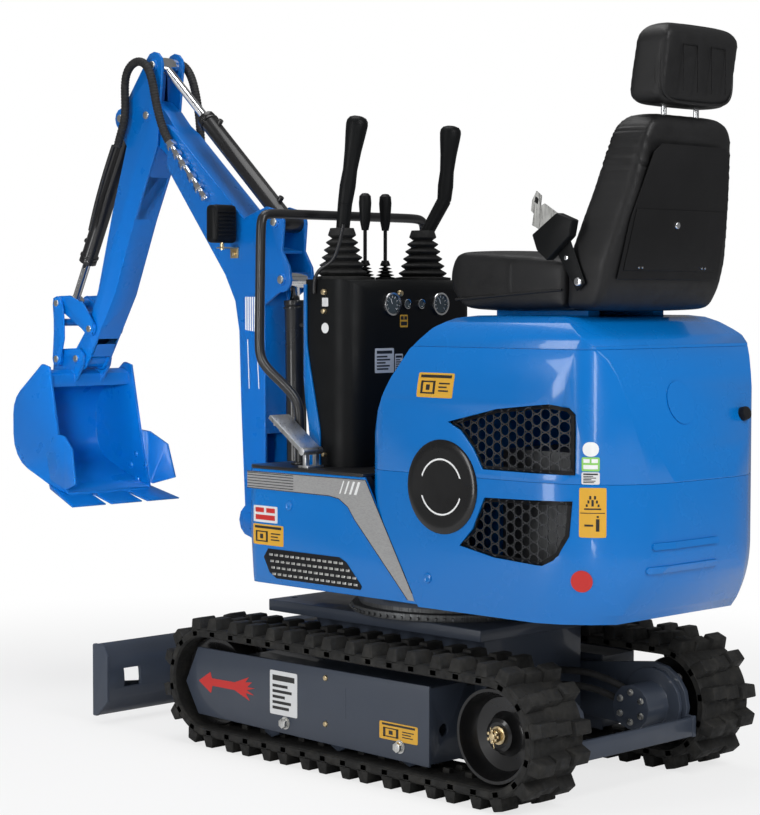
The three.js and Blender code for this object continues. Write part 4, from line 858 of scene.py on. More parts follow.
def badge(side):
    """The round black boss with a broken white ring."""
    name = "left" if side > 0 else "right"
    low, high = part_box(f"hood_badge_{name}")
    middle = (Vector(low) + Vector(high)) / 2
    radius = (high[0] - low[0]) / 2
    face = min(abs(low[1]), abs(high[1]))
    bm = bmesh.new()
    profile = [(0, 0), (radius, 0), (radius, 0.0015), (radius - 0.003, 0.0038), (radius - 0.016, 0.0052),
               (radius - 0.022, 0.0046), (0, 0.0046)]
    add_turned(bm, profile, (middle.x, side * face, middle.z), (0, side, 0), 72)
    piece(f"hood_badge_{name}_boss", bm, FINISH["casting"], "house", (f"hood_badge_{name}",))
    ring = bmesh.new()
    for start, end in ((20, 160), (200, 340)):
        band = [(0.0625, a) for a in range(start, end + 1, 6)] + [(0.0665, a) for a in range(end, start - 1, -6)]
        corners = [Vector((middle.x + r * math.cos(math.radians(a)), side * (face + 0.0047),
                           middle.z + r * math.sin(math.radians(a)))) for r, a in band]
        add_outline(ring, corners, (0, side * 0.0004, 0))
    piece(f"hood_badge_{name}_ring", ring, FINISH["bright"], "house")


def rear_fittings(upper, lower):
    """Slots pressed into the rear, reflectors, lock and labels of the hood."""
    for name, side in SIDES:
        disc_sticker(f"reflector_{name}", place(-675, side * 298, 529), (-0.56, side * 0.83, 0), 0.0245,
                     FINISH["red"], "house", lower, 0.002)
        label(f"hood_service_label_{name}", place(-256, side * 325, 951), (-side, 0, 0),
              (0, -side * 0.1, 1), (0.057, 0.029), "yellow", "ink", "panels", "house", upper)
        label(f"hood_warning_label_{name}", place(-694, side * 284, 682), (-0.83 * side, -0.56, 0),
              (0, 0, 1), (0.03, 0.055), "yellow", "ink", "triangle", "house", lower)
        label(f"hood_green_label_{name}", place(-690, side * 287, 789), (-0.83 * side, -0.56, 0),
              (0, 0, 1), (0.02, 0.0155), "green", "bright", "blocks", "house", upper)
        label(f"hood_white_label_{name}", place(-690, side * 287, 758), (-0.83 * side, -0.56, 0),
              (0, 0, 1), (0.02, 0.0135), "white", "ink", "lines", "house", upper)
        sticker(f"hood_round_label_{name}", place(-690, side * 287, 822), (-0.83 * side, -0.56, 0), (0, 0, 1),
                (0.018, 0.016), FINISH["bright"], "house", upper, 0.0155)
    lock = bmesh.new()
    add_rod(lock, place(-758, -178, 884), place(-776, -178, 889), 0.017, 0.015, 28, 0.002)
    piece("hood_lock", lock, FINISH["trim"], "house")
    for name, y, z, half in (("upper", 62, 604, 0.115), ("lower", 64, 551, 0.125)):
        sticker(f"hood_rear_rib_{name}", place(-784, y, z), (0, -1, 0), (0, 0, 1), (half, 0.0075), FINISH["hood"],
                "house", lower, 0.0075, 0.005)
    disc_sticker("hood_rear_disc", place(-784, 47, 919), (-1, 0, 0), 0.048, FINISH["hood"], "house",
                 upper,
                 0.0025)


def panel_trim(side, target):
    """Silver band along the top and down the seam of a side panel, its vent and labels."""
    name = "left" if side > 0 else "right"
    y = 330.05
    band = bmesh.new()
    outline = [(397, 715), (397, 671), (96, 669), (62, 664), (30, 646), (8, 618), (-172, 440), (-194, 440), (-186, 458),
               (-50, 684), (-30, 717)]
    add_outline(band, [place(x, side * y, z) for x, z in outline], (0, side * 0.0008, 0))
    piece(f"panel_band_{name}", band, FINISH["grey"], "house")
    lines = bmesh.new()
    for z in (677, 684, 691, 698, 705, 711):
        low = place(225, min(side * (y + 0.7), side * (y + 1.2)), z - 0.9)
        high = place(396, max(side * (y + 0.7), side * (y + 1.2)), z + 0.9)
        add_box(lines, low, high)
    for a, b in (((397, 672), (96, 670)), ((96, 670), (62, 665)), ((62, 665), (30, 647)), ((30, 647), (8, 619)),
                 ((8, 619), (-172, 441)), ((397, 714), (-30, 716)), ((-31, 715), (-187, 457))):
        add_rod(lines, place(a[0], side * (y + 0.8), a[1]), place(b[0], side * (y + 0.8), b[1]), 0.0009, sides=6)
    piece(f"panel_band_lines_{name}", lines, FINISH["trim"], "house")
    marks = bmesh.new()
    for step in range(4):
        x = 60 - step * 17
        width = 4 + step * 1.5
        add_outline(marks, [place(x, side * (y + 0.8), 678), place(x - width, side * (y + 0.8), 678),
                            place(x - width - 14, side * (y + 0.8), 710), place(x - 14, side * (y + 0.8), 710)],
                    (0, side * 0.0004, 0))
    piece(f"panel_band_marks_{name}", marks, FINISH["bright"], "house")
    vent = bmesh.new()
    outline = [(334, 500), (318, 522), (60, 522), (36, 512), (-18, 458), (-14, 449), (286, 449), (312, 462)]
    add_outline(vent, [place(x, side * y, z) for x, z in outline], (0, side * 0.0022, 0))
    sharp = [edge for edge in vent.edges if edge.calc_face_angle(0) > 1.0]
    bmesh.ops.bevel(vent, geom=sharp, offset=0.0008, segments=2, profile=0.5, affect="EDGES", material=-1)
    piece(f"panel_vent_{name}", vent, FINISH["trim"], "house")
    slots = bmesh.new()
    for row in range(4):
        for column in range(16):
            x, z = 306 - column * 19.5 - row * 4, 510 - row * 16
            if x < 36 - (512 - z) or x > 322 - abs(z - 492) * 0.5:
                continue
            low = place(x - 6.5, min(side * (y + 2), side * (y + 3.2)), z - 5)
            high = place(x + 6.5, max(side * (y + 2), side * (y + 3.2)), z + 1)
            add_box(slots, low, high, 0.0008)
    piece(f"panel_vent_louvres_{name}", slots, FINISH["zinc"], "house")
    label(f"panel_white_label_{name}", place(330, side * 330, 608), (-side, 0, 0), (0, 0, 1), (0.046, 0.021), "white",
          "red", "blocks", "house", target, 0.002)
    label(f"panel_yellow_label_{name}", place(320, side * 330, 556), (-side, 0, 0), (0, 0, 1), (0.058, 0.026), "yellow",
          "ink", "panels", "house", target)
    bolts = bmesh.new()
    for x, z in ((241, 636), (-236, 499)):
        add_turned(bolts,
                   [(0, 0.002), (0.006, 0.002), (0.0085, 0.0035), (0.012, 0.0025), (0.0125, 0.0003), (0, 0.0003)],
                   place(x, side * 330, z), (0, side, 0), 28)
    piece(f"panel_bolts_{name}", bolts, FINISH["hood"], "house")


def curled(node, material):
    """A copy of a node with its rear corners drawn in towards the bottom, as on a moulded cover."""
    top, depth, reach = 0.6, 0.172, 0.036  # height it starts at, how far down it runs, most it pulls in
    front, run = place(-480, 0, 0).x, 0.3  # where along the house it starts, and the run to its full pull
    bm = merged_copy(node)
    for z in range(450, 600, 15):
        bmesh.ops.bisect_plane(bm, geom=list(bm.verts) + list(bm.edges) + list(bm.faces), plane_co=(0, 0, z / 1000),
                               plane_no=(0, 0, 1))
    for vert in bm.verts:
        drop = max(0.0, (top - vert.co.z) / depth)
        back = max(0.0, min(1.0, (front - vert.co.x) / run))
        pull = reach * drop ** 2.4 * back * back * (3 - 2 * back)
        vert.co.x += pull * 0.8
        vert.co.y -= math.copysign(pull, vert.co.y) * min(1.0, abs(vert.co.y) / 0.2)
    return piece(f"{node}_skin", bm, material, BODY_OF[node], (node,), 45, tidy=False)


class DIGGER_OT_hood(bpy.types.Operator):
    """Hood, panels, vents, badges and labels of the house"""
    bl_idname = "digger.hood"
    bl_label = "Hood and panels"

    def execute(self, context):
        edge = settings().edge_break
        upper = eased("upper_hood", FINISH["hood"], edge, 40, 45)
        lower = curled("lower_hood", FINISH["hood"])
        eased("seat_deck", FINISH["hood"], edge, 40, 45)
        curled("revolving_deck", FINISH["chassis"])
        eased("floor_plate", FINISH["rail"], edge * 0.8)
        frame["nodes"]["engine_block"].data.materials.clear()
        frame["nodes"]["engine_block"].data.materials.append(FINISH["casting_iron"])
        for name, side in SIDES:
            panel = eased(f"side_panel_{name}", FINISH["hood"], edge * 1.5)
            panel_trim(side, panel)
            badge(side)
            for level in ("upper", "lower"):
                shell = frame["nodes"][f"{level}_grille_{name}"]
                honeycomb(level, side, shell)
                vent_rim(level, side, shell)
        rear_fittings(upper, lower)
        return {"FINISHED"}


# ------------------------------------------------------------------ seat

def pad(node, name, voxel, crown, passes, top=0.0, rise=0.0, body="seat"):
    """A stuffed pad grown from its solid: remeshed, relaxed and crowned, with rounded edges."""
    bm = merged_copy(node)
    if top:
        cut = bmesh.ops.bisect_plane(bm, geom=list(bm.verts) + list(bm.edges) + list(bm.faces), plane_co=(0, 0, top),
                                     plane_no=(0, 0, 1), clear_outer=True)["geom_cut"]
        bmesh.ops.holes_fill(bm, edges=[item for item in cut if isinstance(item, bmesh.types.BMEdge)], sides=0)
    mesh = bpy.data.meshes.new(name)
    bm.to_mesh(mesh)
    bm.free()
    obj = bpy.data.objects.new(name, mesh)
    bpy.context.scene.collection.objects.link(obj)
    remesh = obj.modifiers.new("remesh", "REMESH")
    remesh.mode = "VOXEL"
    remesh.voxel_size = voxel
    relax = obj.modifiers.new("relax", "SMOOTH")
    relax.factor = 0.6
    relax.iterations = passes
    bpy.context.view_layer.update()
    graph = bpy.context.evaluated_depsgraph_get()
    grown = bpy.data.meshes.new_from_object(obj.evaluated_get(graph), depsgraph=graph)
    obj.modifiers.clear()
    obj.data = grown
    grown.name = name
    low, high = (Vector(corner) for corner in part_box(node))
    middle, half = (low + high) / 2, (high - low) / 2
    for vert in grown.vertices:
        offset = vert.co - middle
        share = [1 - min(1, abs(offset[i]) / half[i]) ** 2 for i in range(3)]
        swell = crown * math.sqrt(max(0, share[0] * share[1] + share[1] * share[2] + share[0] * share[2]) / 3)
        vert.co += vert.normal * (swell - crown * 0.35)
        climb = max(0.0, min(1.0, (vert.co.z - 1.38) / 0.14))
        vert.co.z += rise * climb * climb * (3 - 2 * climb)
    for polygon in grown.polygons:
        polygon.use_smooth = True
    grown.materials.clear()
    grown.materials.append(FINISH["leather"])
    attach(obj, body)
    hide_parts(node)
    return obj


def piping(name, points, radius=0.0028):
    loop = [place(*point) for point in points]
    tube(name, loop, radius, FINISH["leather"], "seat", resolution=8)


class DIGGER_OT_seat(bpy.types.Operator):
    """Seat pads, shells, headrest posts and the belt's buckle"""
    bl_idname = "digger.seat"
    bl_label = "Seat"

    def execute(self, context):
        crown = settings().crown
        pad("seat_cushion", "seat_cushion_pad", 0.005, crown * 1.5, 60)
        pad("seat_back", "seat_back_pad", 0.005, crown * 0.8, 45, 1.5385, 0.026)
        pad("headrest", "headrest_pad", 0.0045, crown * 0.5, 30)
        back = bmesh.new()
        corners = [(-186, 1195), (186, 1195), (178, 1330), (140, 1478), (118, 1496), (-118, 1496), (-140, 1478),
                   (-178, 1330)]
        skin = [place(-676.5 - (z - 1195) * 0.2365, y, z) for y, z in corners]
        add_outline(back, skin, (-0.0035, 0, 0))
        rims = [edge for edge in back.edges if edge.calc_face_angle(0) > 0.6]
        bmesh.ops.bevel(back, geom=rims, offset=0.0015, segments=2, profile=0.5, affect="EDGES", material=-1)
        piece("seat_back_panel", back, FINISH["shell"], "seat")
        flap = bmesh.new()
        corners = [(-172, 1215), (172, 1215), (166, 1352), (-166, 1352)]
        add_outline(flap, [place(-684 - (z - 1215) * 0.2365, y, z) for y, z in corners], (-0.003, 0, 0))
        rims = [edge for edge in flap.edges if edge.calc_face_angle(0) > 0.6]
        bmesh.ops.bevel(flap, geom=rims, offset=0.0012, segments=2, profile=0.5, affect="EDGES", material=-1)
        piece("seat_back_flap", flap, FINISH["shell"], "seat")
        studs = bmesh.new()
        for y, z, radius in ((10, 1318, 0.009), (-112, 1222, 0.003), (-124, 1222, 0.003), (110, 1222, 0.003),
                             (122, 1222, 0.003)):
            start = place(-686 - (z - 1215) * 0.2365, y, z)
            add_rod(studs, start, start + Vector((-0.0045, 0, 0)), radius, radius * 0.8, 24, 0.0008)
        piece("seat_back_studs", studs, FINISH["chrome"], "seat")
        posts = bmesh.new()
        for y in (-60, 60):
            add_rod(posts, place(-709, y, 1530), place(-709, y, 1598), 0.0065, sides=24)
        piece("headrest_posts", posts, FINISH["chrome"], "seat")
        low, high = (Vector(corner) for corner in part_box("headrest"))
        middle = (low + high) / 2
        for inward, name in ((0.02, "headrest_lip"), (0.036, "headrest_seam")):
            reach_y, reach_z = (high.y - low.y) / 2 - 0.004, (high.z - low.z) / 2 - 0.004
            loop = []
            for step in range(49):
                angle = math.tau * step / 48
                cosine, sine = math.cos(angle), math.sin(angle)
                loop.append(Vector((low.x + inward, middle.y + math.copysign(abs(cosine) ** 0.42, cosine) * reach_y,
                                    middle.z + math.copysign(abs(sine) ** 0.42, sine) * reach_z)))
            tube(name, loop, 0.0032, FINISH["leather"], "seat", resolution=3)
        flats = bmesh.new()
        for y in (-52, 52):
            for a, b in (((y - 26, 1612), (y - 26, 1716)), ((y - 26, 1716), (y + 26, 1716)),
                         ((y + 26, 1716), (y + 26, 1612))):
                offset = low.x - 0.0006
                start, end = Vector((offset, a[0] / 1000, a[1] / 1000)), Vector((offset, b[0] / 1000, b[1] / 1000))
                add_rod(flats, start, end, 0.0011, sides=8)
        piece("headrest_marks", flats, FINISH["shell"], "seat")
        buckle = bmesh.new()
        outline = [(-482, 1297), (-554, 1345), (-600, 1328), (-592, 1292), (-526, 1238), (-496, 1262)]
        add_outline(buckle, [place(x, 222, z) for x, z in outline], (0, 0.026, 0))
        add_outline(buckle, [place(x, 224, z) for x, z in ((-622, 1186), (-598, 1168), (-540, 1256), (-576, 1290))],
                    (0, 0.006, 0))
        corners = [edge for edge in buckle.edges if edge.calc_face_angle(0) > 0.4]
        bmesh.ops.bevel(buckle, geom=corners, offset=0.003, segments=3, profile=0.5, affect="EDGES", material=-1)
        piece("belt_buckle_case", buckle, FINISH["console"], "seat", ("belt_buckle",))
        tongue = bmesh.new()
        outline = [(-473, 1376), (-486, 1396), (-501, 1385), (-498, 1362), (-510, 1367), (-551, 1343), (-528, 1322),
                   (-497, 1308), (-473, 1319), (-478, 1345), (-470, 1352)]
        slot = [(-483, 1385), (-493, 1378), (-490, 1366), (-481, 1371)]
        add_outline(tongue, [place(x, 234, z) for x, z in outline], (0, 0.0025, 0))
        piece("belt_tongue", tongue, FINISH["zinc"], "seat")
        window = bmesh.new()
        add_outline(window, [place(x, 233.6, z) for x, z in slot], (0, 0.0033, 0))
        piece("belt_tongue_window", window, FINISH["shell"], "seat")
        bolts = bmesh.new()
        add_rod(bolts, place(-606, 228, 1190), place(-606, 237, 1190), 0.011, 0.009, 28, 0.0015)
        add_rod(bolts, place(-571, 228, 1244), place(-571, 234, 1244), 0.0065, 0.0055, 20, 0.001)
        piece("belt_bolts", bolts, FINISH["chrome"], "seat")
        piping("cushion_seam", [(-545, 216, 1172), (-450, 216.5, 1166), (-320, 216, 1156), (-215, 212, 1150)])
        return {"FINISHED"}


# ------------------------------------------------------------------ console

def bellows(bm, x, y, base, foot, neck, height, folds):
    """A pleated rubber boot."""
    profile = [(0, 0), (foot, 0), (foot, 0.006)]
    for fold in range(folds):
        share = (fold + 0.5) / folds
        radius = foot * 0.86 + (neck - foot * 0.86) * share ** 0.9
        z = 0.008 + (height - 0.016) * share
        half = (height - 0.016) / folds / 2
        profile += [(radius - 0.007, z - half * 0.9), (radius + 0.003, z - half * 0.15),
                    (radius + 0.003, z + half * 0.15)]
    profile += [(neck, height), (0, height)]
    add_turned(bm, profile, place(x, y, base), (0, 0, 1), 40)


def grip(name, elbow, top, hides, boot):
    """Stem, pistol grip and boot of a joystick."""
    x, y, base = boot
    bm = bmesh.new()
    bellows(bm, x, y, base, 0.074, 0.03, 0.13, 6)
    piece(f"{name}_boot", bm, FINISH["bellows"], "house", (hides,))
    bend = place(*elbow)
    handle = bmesh.new()
    axis = (place(*top) - bend).normalized()
    add_rod(handle, place(x, y, base + 105), bend, 0.017, 0.0185, 28)
    add_turned(handle, [(0, -0.018), (0.012, -0.014), (0.0182, 0), (0.012, 0.014), (0, 0.018)], bend, axis, 28)
    length = (place(*top) - bend).length
    profile = [(0, -0.002), (0.0185, 0), (0.0205, length * 0.2), (0.0185, length * 0.4), (0.0215, length * 0.62),
               (0.0265, length * 0.84), (0.028, length * 0.93), (0.0265, length * 0.975),
               (0.021, length * 1.01), (0.011, length * 1.028), (0, length * 1.032)]
    add_turned(handle, profile, bend, axis, 32)
    piece(f"{name}_grip", handle, FINISH["console"], "house")


def gauge(y, z, radius, name):
    x = 123
    bm = bmesh.new()
    add_turned(bm, [(radius * 0.82, 0.001), (radius * 0.86, 0.007), (radius, 0.0075), (radius * 1.04, 0.004),
                    (radius * 1.04, 0.0002), (0, 0.0002), (0, 0.001), (radius * 0.82, 0.001)],
               place(x, y, z), (-1, 0, 0), 40)
    piece(f"{name}_bezel", bm, FINISH["chrome"], "house")
    face = bmesh.new()
    add_turned(face, [(0, 0.0012), (radius * 0.81, 0.0012), (radius * 0.81, 0.003), (0, 0.0034)], place(x, y, z),
               (-1, 0, 0), 36)
    piece(f"{name}_face", face, FINISH["glass"], "house")
    if radius > 0.015:
        marks = bmesh.new()
        for step in range(9):
            angle = math.radians(-40 + step * 32.5)
            out = Vector((0, math.cos(angle), math.sin(angle)))
            start = place(x, y, z) + Vector((-0.0035, 0, 0)) + out * radius * 0.55
            add_rod(marks, start, start + out * radius * 0.18, 0.0006, sides=6)
        middle = place(x, y, z) + Vector((-0.0037, 0, 0))
        add_rod(marks, middle, middle + Vector((0, 0.35, 0.9)).normalized() * radius * 0.5, 0.0008, sides=6)
        piece(f"{name}_marks", marks, FINISH["bright"], "house")


class DIGGER_OT_console(bpy.types.Operator):
    """Console, levers, gauges, hand rail and pedal"""
    bl_idname = "digger.console"
    bl_label = "Console and controls"

    def execute(self, context):
        edge = settings().edge_break
        shell = eased("console_shell", FINISH["console"], 0.0, 40, 50)
        eased("console_cowl", FINISH["hood"], edge * 0.8, 40, 50)
        for name, y, radius in (("gauge_left", 87, 0.029), ("gauge_right", -90, 0.029), ("lamp_left", 34, 0.0125),
                                ("lamp_right", -17, 0.0125)):
            gauge(y, 1138, radius, name)
        grip("joystick_left", (226, 150, 1392), (203, 127, 1606), "joystick_left", (239, 148, 1200.3))
        grip("joystick_right", (207, -196, 1410), (200, -214, 1600), "joystick_right", (239, -148, 1200.3))
        for name, side in SIDES:
            bm = bmesh.new()
            bellows(bm, 268, side * 37, 1200.3, 0.026, 0.009, 0.05, 4)
            add_rod(bm, place(268, side * 37, 1240), place(268, side * 37, 1332), 0.0048, sides=16)
            add_turned(bm,
                       [(0, 0), (0.009, 0), (0.013, 0.02), (0.0165, 0.07), (0.015, 0.088), (0.008, 0.095), (0, 0.096)],
                       place(268, side * 37, 1328), (0, 0, 1), 28)
            piece(f"small_lever_{name}_stick", bm, FINISH["console"], "house", (f"small_lever_{name}",))
        rail_points = [(300, 237, 731), (300, 237, 800), (300, 238, 860), (306, 242, 905), (372, 292, 975),
                       (385, 300, 1010),
                       (384, 300, 1060), (380, 300, 1250), (378, 300, 1330), (378, 296, 1362), (378, 270, 1368),
                       (378, 200, 1368), (378, 0, 1368)]
        path = [place(*p) for p in rail_points]
        mirrored = [Vector((p.x, -p.y, p.z)) for p in reversed(path[:-1])]
        tube("handrail_tube", path + mirrored, 0.0125, FINISH["rail"], "house", ("handrail",),
             resolution=10)
        collars = bmesh.new()
        for side in (1, -1):
            add_rod(collars, place(300, side * 237, 730.4), place(300, side * 237, 737), 0.024, sides=32, bevel=0.0015)
        piece("handrail_feet", collars, FINISH["rail"], "house")
        for name, centre, half, finish, ink in (
                ("console_notice", (123, 112, 996), (0.034, 0.031), "white", "lines"),
                ("console_notice_small", (123, 60, 990), (0.014, 0.022), "white", "lines"),
                ("console_caution", (123, 42, 1095), (0.014, 0.016), "yellow", "blocks")):
            label(name, place(*centre), (0, -1, 0), (0, 0, 1), half, finish, "ink", ink, "house",
                  shell,
                  0.002)
        key = bmesh.new()
        add_rod(key, place(123, 60, 1165), place(113, 60, 1165), 0.008, 0.007, 24, 0.001)
        for z, radius in ((1168, 0.008), (1120, 0.007), (760, 0.006)):
            add_rod(key, place(212, 232.5, z), place(212, 243, z), radius, radius * 0.85, 20, 0.001)
        piece("console_knobs", key, FINISH["brass"], "house")
        sticker("console_side_label", place(212, 233, 1143), (-1, 0, 0), (0, 0, 1), (0.011, 0.011), FINISH["white"],
                "house", shell, 0.001)
        disc_sticker("console_side_mark", place(212, 233, 1078), (0, 1, 0), 0.013, FINISH["bright"], "house",
                     shell)
        tube("safety_lever",
             [place(*p) for p in ((246, 238, 1165), (246, 240, 1196), (238, 236, 1222), (214, 226, 1236),
                                                  (190, 218, 1250), (176, 214, 1300), (168, 212, 1336))],
             0.0045, FINISH["rail"], "house", resolution=8)
        eased("foot_pedal", FINISH["pedal"], 0.0006)
        studs = bmesh.new()
        for row in range(5):
            for side in (0, 1):
                x, z = 222 + row * 22, 773 + row * 13.5
                add_rod(studs, place(x, 262 + side * 54, z + 6), place(x - 3, 262 + side * 54, z + 12), 0.0035,
                        0.0025, 12)
        piece("foot_pedal_studs", studs, FINISH["pedal"], "house")
        return {"FINISHED"}


# ------------------------------------------------------------------ boom and arm

def cylinder_trim(prefix, base, tip, barrel_length, radius, body):
    """Gland and oil ports of a hydraulic cylinder."""
    start, end = place(base[0], 0, base[1]), place(tip[0], 0, tip[1])
    along = (end - start).normalized()
    gland = start + along * (barrel_length / 1000 - 0.022)
    across = Vector((0, 1, 0))
    bm = bmesh.new()
    add_rod(bm, gland - along * 0.002, gland + along * 0.004, radius / 1000 + 0.0035, sides=40, bevel=0.001)
    out = along.cross(across).normalized()
    for share in (0.14, 0.88):
        port = start + along * (barrel_length / 1000 * share)
        add_rod(bm, port, port + out * (radius / 1000 + 0.012), 0.008, sides=16, bevel=0.001)
    piece(f"{prefix}_ports", bm, FINISH["barrel"], body)


def hose_pair():
    """The two wound hoses that arch over the arm's pivot, and the pipes that feed the arm cylinder."""
    for name, side in SIDES:
        if side > 0:
            points = [(1266, 60, 1590), (1252, 62, 1622), (1222, 62, 1665), (1230, 62, 1749), (1224, 62, 1806),
                      (1172, 62, 1836),
                      (1122, 62, 1816), (1100, 62, 1763), (1082, 62, 1682), (1050, 60, 1612), (1030, 57, 1588)]
        else:
            points = [(1240, -58, 1600), (1228, -62, 1680), (1210, -64, 1776), (1168, -66, 1828), (1122, -66, 1830),
                      (1078, -66, 1790), (1052, -64, 1705), (1040, -62, 1650), (1030, -57, 1588)]
        hose = wound(f"hose_{name}", [place(*p) for p in points], 0.0122, FINISH["hose"], None)
        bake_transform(hose)
        fittings = bmesh.new()
        low, high = place(878, side * 53, 1426), place(1034, side * 57, 1592)
        add_rod(fittings, low, high, 0.0075, sides=20)
        for share, radius in ((0.02, 0.013), (0.16, 0.0155), (0.34, 0.014), (0.56, 0.0155), (0.74, 0.014),
                              (0.9, 0.0155)):
            spot = low.lerp(high, share)
            add_rod(fittings, spot, spot + (high - low).normalized() * 0.021, radius, sides=6, bevel=0.0008)
        piece(f"hose_fittings_{name}", fittings, FINISH["chrome"], "boom")


class DIGGER_OT_boom(bpy.types.Operator):
    """Boom, arm, bucket, linkage, cylinders and hoses"""
    bl_idname = "digger.boom"
    bl_label = "Boom and bucket"

    def dome(self, bm, x, y, z, side, radius):
        profile = [(0, radius * 0.5), (radius * 0.5, radius * 0.44), (radius * 0.85, radius * 0.22), (radius, 0),
                   (0, 0)]
        add_turned(bm, profile, place(x, y, z), (0, side, 0), 24)

    def execute(self, context):
        edge = settings().edge_break
        for node in ("boom_bracket", "boom", "arm", "guide_link", "bucket_link", "bucket"):
            eased(node, FINISH["boom"], edge)
        for ram in ("blade", "boom", "arm", "bucket"):
            eased(f"{ram}_cylinder_barrel", FINISH["barrel"], edge * 0.7, 40, 50)
            eased(f"{ram}_cylinder_rod", FINISH["chrome"], 0.0, 40, 50)
        cylinder_trim("boom_cylinder", (565, 585), (577, 1202), 562, 28, "boom_barrel")
        cylinder_trim("arm_cylinder", (605, 1357), (1121, 1816), 451, 25, "arm_barrel")
        cylinder_trim("bucket_cylinder", (1270, 1673), (1555, 1137), 469, 25, "bucket_barrel")
        lamp = bmesh.new()
        add_box(lamp, place(747, 52, 1303), place(789, 136, 1407), 0.013, segments=4)
        piece("work_light_case", lamp, FINISH["console"], "boom", ("work_light",))
        fins = bmesh.new()
        for step in range(7):
            z = 1322 + step * 10.5
            add_box(fins, place(742.5, 64, z), place(750, 124, z + 4.5), 0.0016)
        piece("work_light_fins", fins, FINISH["console"], "boom")
        bracket = bmesh.new()
        add_box(bracket, place(752, 45, 1288), place(784, 100, 1292), 0.0008)
        add_box(bracket, place(752, 45.2, 1262), place(784, 49, 1292), 0.0008)
        add_rod(bracket, place(768, 92, 1284), place(768, 92, 1304), 0.006, sides=20)
        add_hex_bolt(bracket, place(768, 49, 1274), (0, 1, 0), 0.012, 0.007)
        piece("work_light_bracket", bracket, FINISH["brass"], "boom")
        domes = bmesh.new()
        for x, z in ((1456, 729), (1476, 688), (1432, 649)):
            for side in (1, -1):
                self.dome(domes, x, side * 158.5, z, side, 0.011)
        for x, z in ((1451, 677), (1476, 642), (1406, 643), (1445, 600)):
            for side in (1, -1):
                self.dome(domes, x, side * 149.5, z, -side, 0.0095)
        piece("bucket_bolts", domes, FINISH["boom"], "bucket")
        web = bmesh.new()
        add_outline(web, [place(x, -34, z) for x, z in ((1107, 1585), (1150, 1500), (1211, 1379), (1216, 1382),
                                                        (1158, 1500), (1114, 1590))], (0, 0.068, 0))
        add_outline(web, [place(x, -34, z) for x, z in ((1372, 1062), (1424, 978), (1432, 984), (1380, 1068))],
                    (0, 0.068, 0))
        piece("arm_webs", web, FINISH["boom"], "arm")
        for body, outline, low, high in (
                ("guide_link",
                 [(1398, 1046), (1428, 1046), (1480, 1086), (1562, 1116), (1574, 1142), (1560, 1158), (1506, 1160),
                                (1440, 1136), (1396, 1084), (1390, 1062)], 51, 57),
                ("bucket_link",
                 [(1575, 1132), (1572, 1152), (1555, 1158), (1537, 1148), (1524, 1120), (1520, 1080), (1520, 1030),
                                 (1532, 990), (1538, 962), (1552, 949), (1572, 952), (1578, 968), (1574, 1010),
                  (1571, 1050),
                                 (1571, 1090)], 63, 68)):
            plates = bmesh.new()
            for side in (1, -1):
                add_outline(plates, [place(x, side * low, z) for x, z in outline], (0, side * (high - low) / 1000, 0))
            corners = [edge for edge in plates.edges if edge.calc_face_angle(0) > 1.0]
            bmesh.ops.bevel(plates, geom=corners, offset=0.001, segments=2, profile=0.5, affect="EDGES", material=-1)
            piece(f"{body}_cheeks", plates, FINISH["boom"], body)
        heads = bmesh.new()
        for body, spots in (("boom", ((577, 1202, 45), (605, 1357, 45))),):
            for x, z, y in spots:
                for side in (1, -1):
                    add_rod(heads, place(x, side * (y + 4), z), place(x, side * (y + 9), z), 0.012, 0.0105, 28, 0.001)
        piece("boom_pin_caps", heads, FINISH["zinc"], "boom")
        caps = bmesh.new()
        for x, z in ((1150, 1675), (1121, 1816), (1270, 1673)):
            for side in (1, -1):
                add_rod(caps, place(x, side * 46, z), place(x, side * 51, z), 0.012, 0.0105, 28, 0.001)
        piece("arm_pin_caps", caps, FINISH["zinc"], "arm")
        for body, x, z, y in (("guide_link", 1412, 1061, 56), ("bucket_link", 1555, 1137, 68),
                              ("bucket_link", 1557, 969, 68), ("bucket", 1475, 971, 58)):
            bm = bmesh.new()
            for side in (1, -1):
                add_rod(bm, place(x, side * y, z), place(x, side * (y + 4), z), 0.011, 0.0095, 28, 0.001)
            piece(f"{body}_pin_caps_{x}", bm, FINISH["zinc"], body)
        hose_pair()
        stripes = bmesh.new()
        for step in range(5):
            x = 726 - step * 9
            add_outline(stripes, [place(x, 45.05, 1066 - step), place(x, 45.05, 1156), place(x - 5, 45.05, 1156),
                                  place(x - 5, 45.05, 1065 - step)], (0, 0.0004, 0))
        for corners in (((718, 1040), (712, 905), (709, 905), (715, 1040)),
                        ((682, 1050), (672, 905), (669, 905), (679, 1050))):
            add_outline(stripes, [place(x, 45.05, z) for x, z in corners], (0, 0.0004, 0))
        piece("boom_stripes", stripes, FINISH["bright"], "boom")
        line = [(1297, 50, 1596), (1314, 50, 1566), (1350, 50, 1500), (1392, 48, 1412), (1416, 46, 1352)]
        tube("bucket_line", [place(*p) for p in line], 0.0065, FINISH["rail"], "arm", resolution=8)
        return {"FINISHED"}


# ------------------------------------------------------------------ stage

def soft_light(name, location, aim, size, power, spread=180):
    lamp = bpy.data.lights.new(name, "AREA")
    lamp.shape = "RECTANGLE"
    lamp.size, lamp.size_y = size
    lamp.energy = power
    lamp.spread = math.radians(spread)
    obj = bpy.data.objects.new(name, lamp)
    obj.location = location
    obj.rotation_euler = (Vector(aim) - Vector(location)).to_track_quat("-Z", "Y").to_euler()
    bpy.context.scene.collection.objects.link(obj)


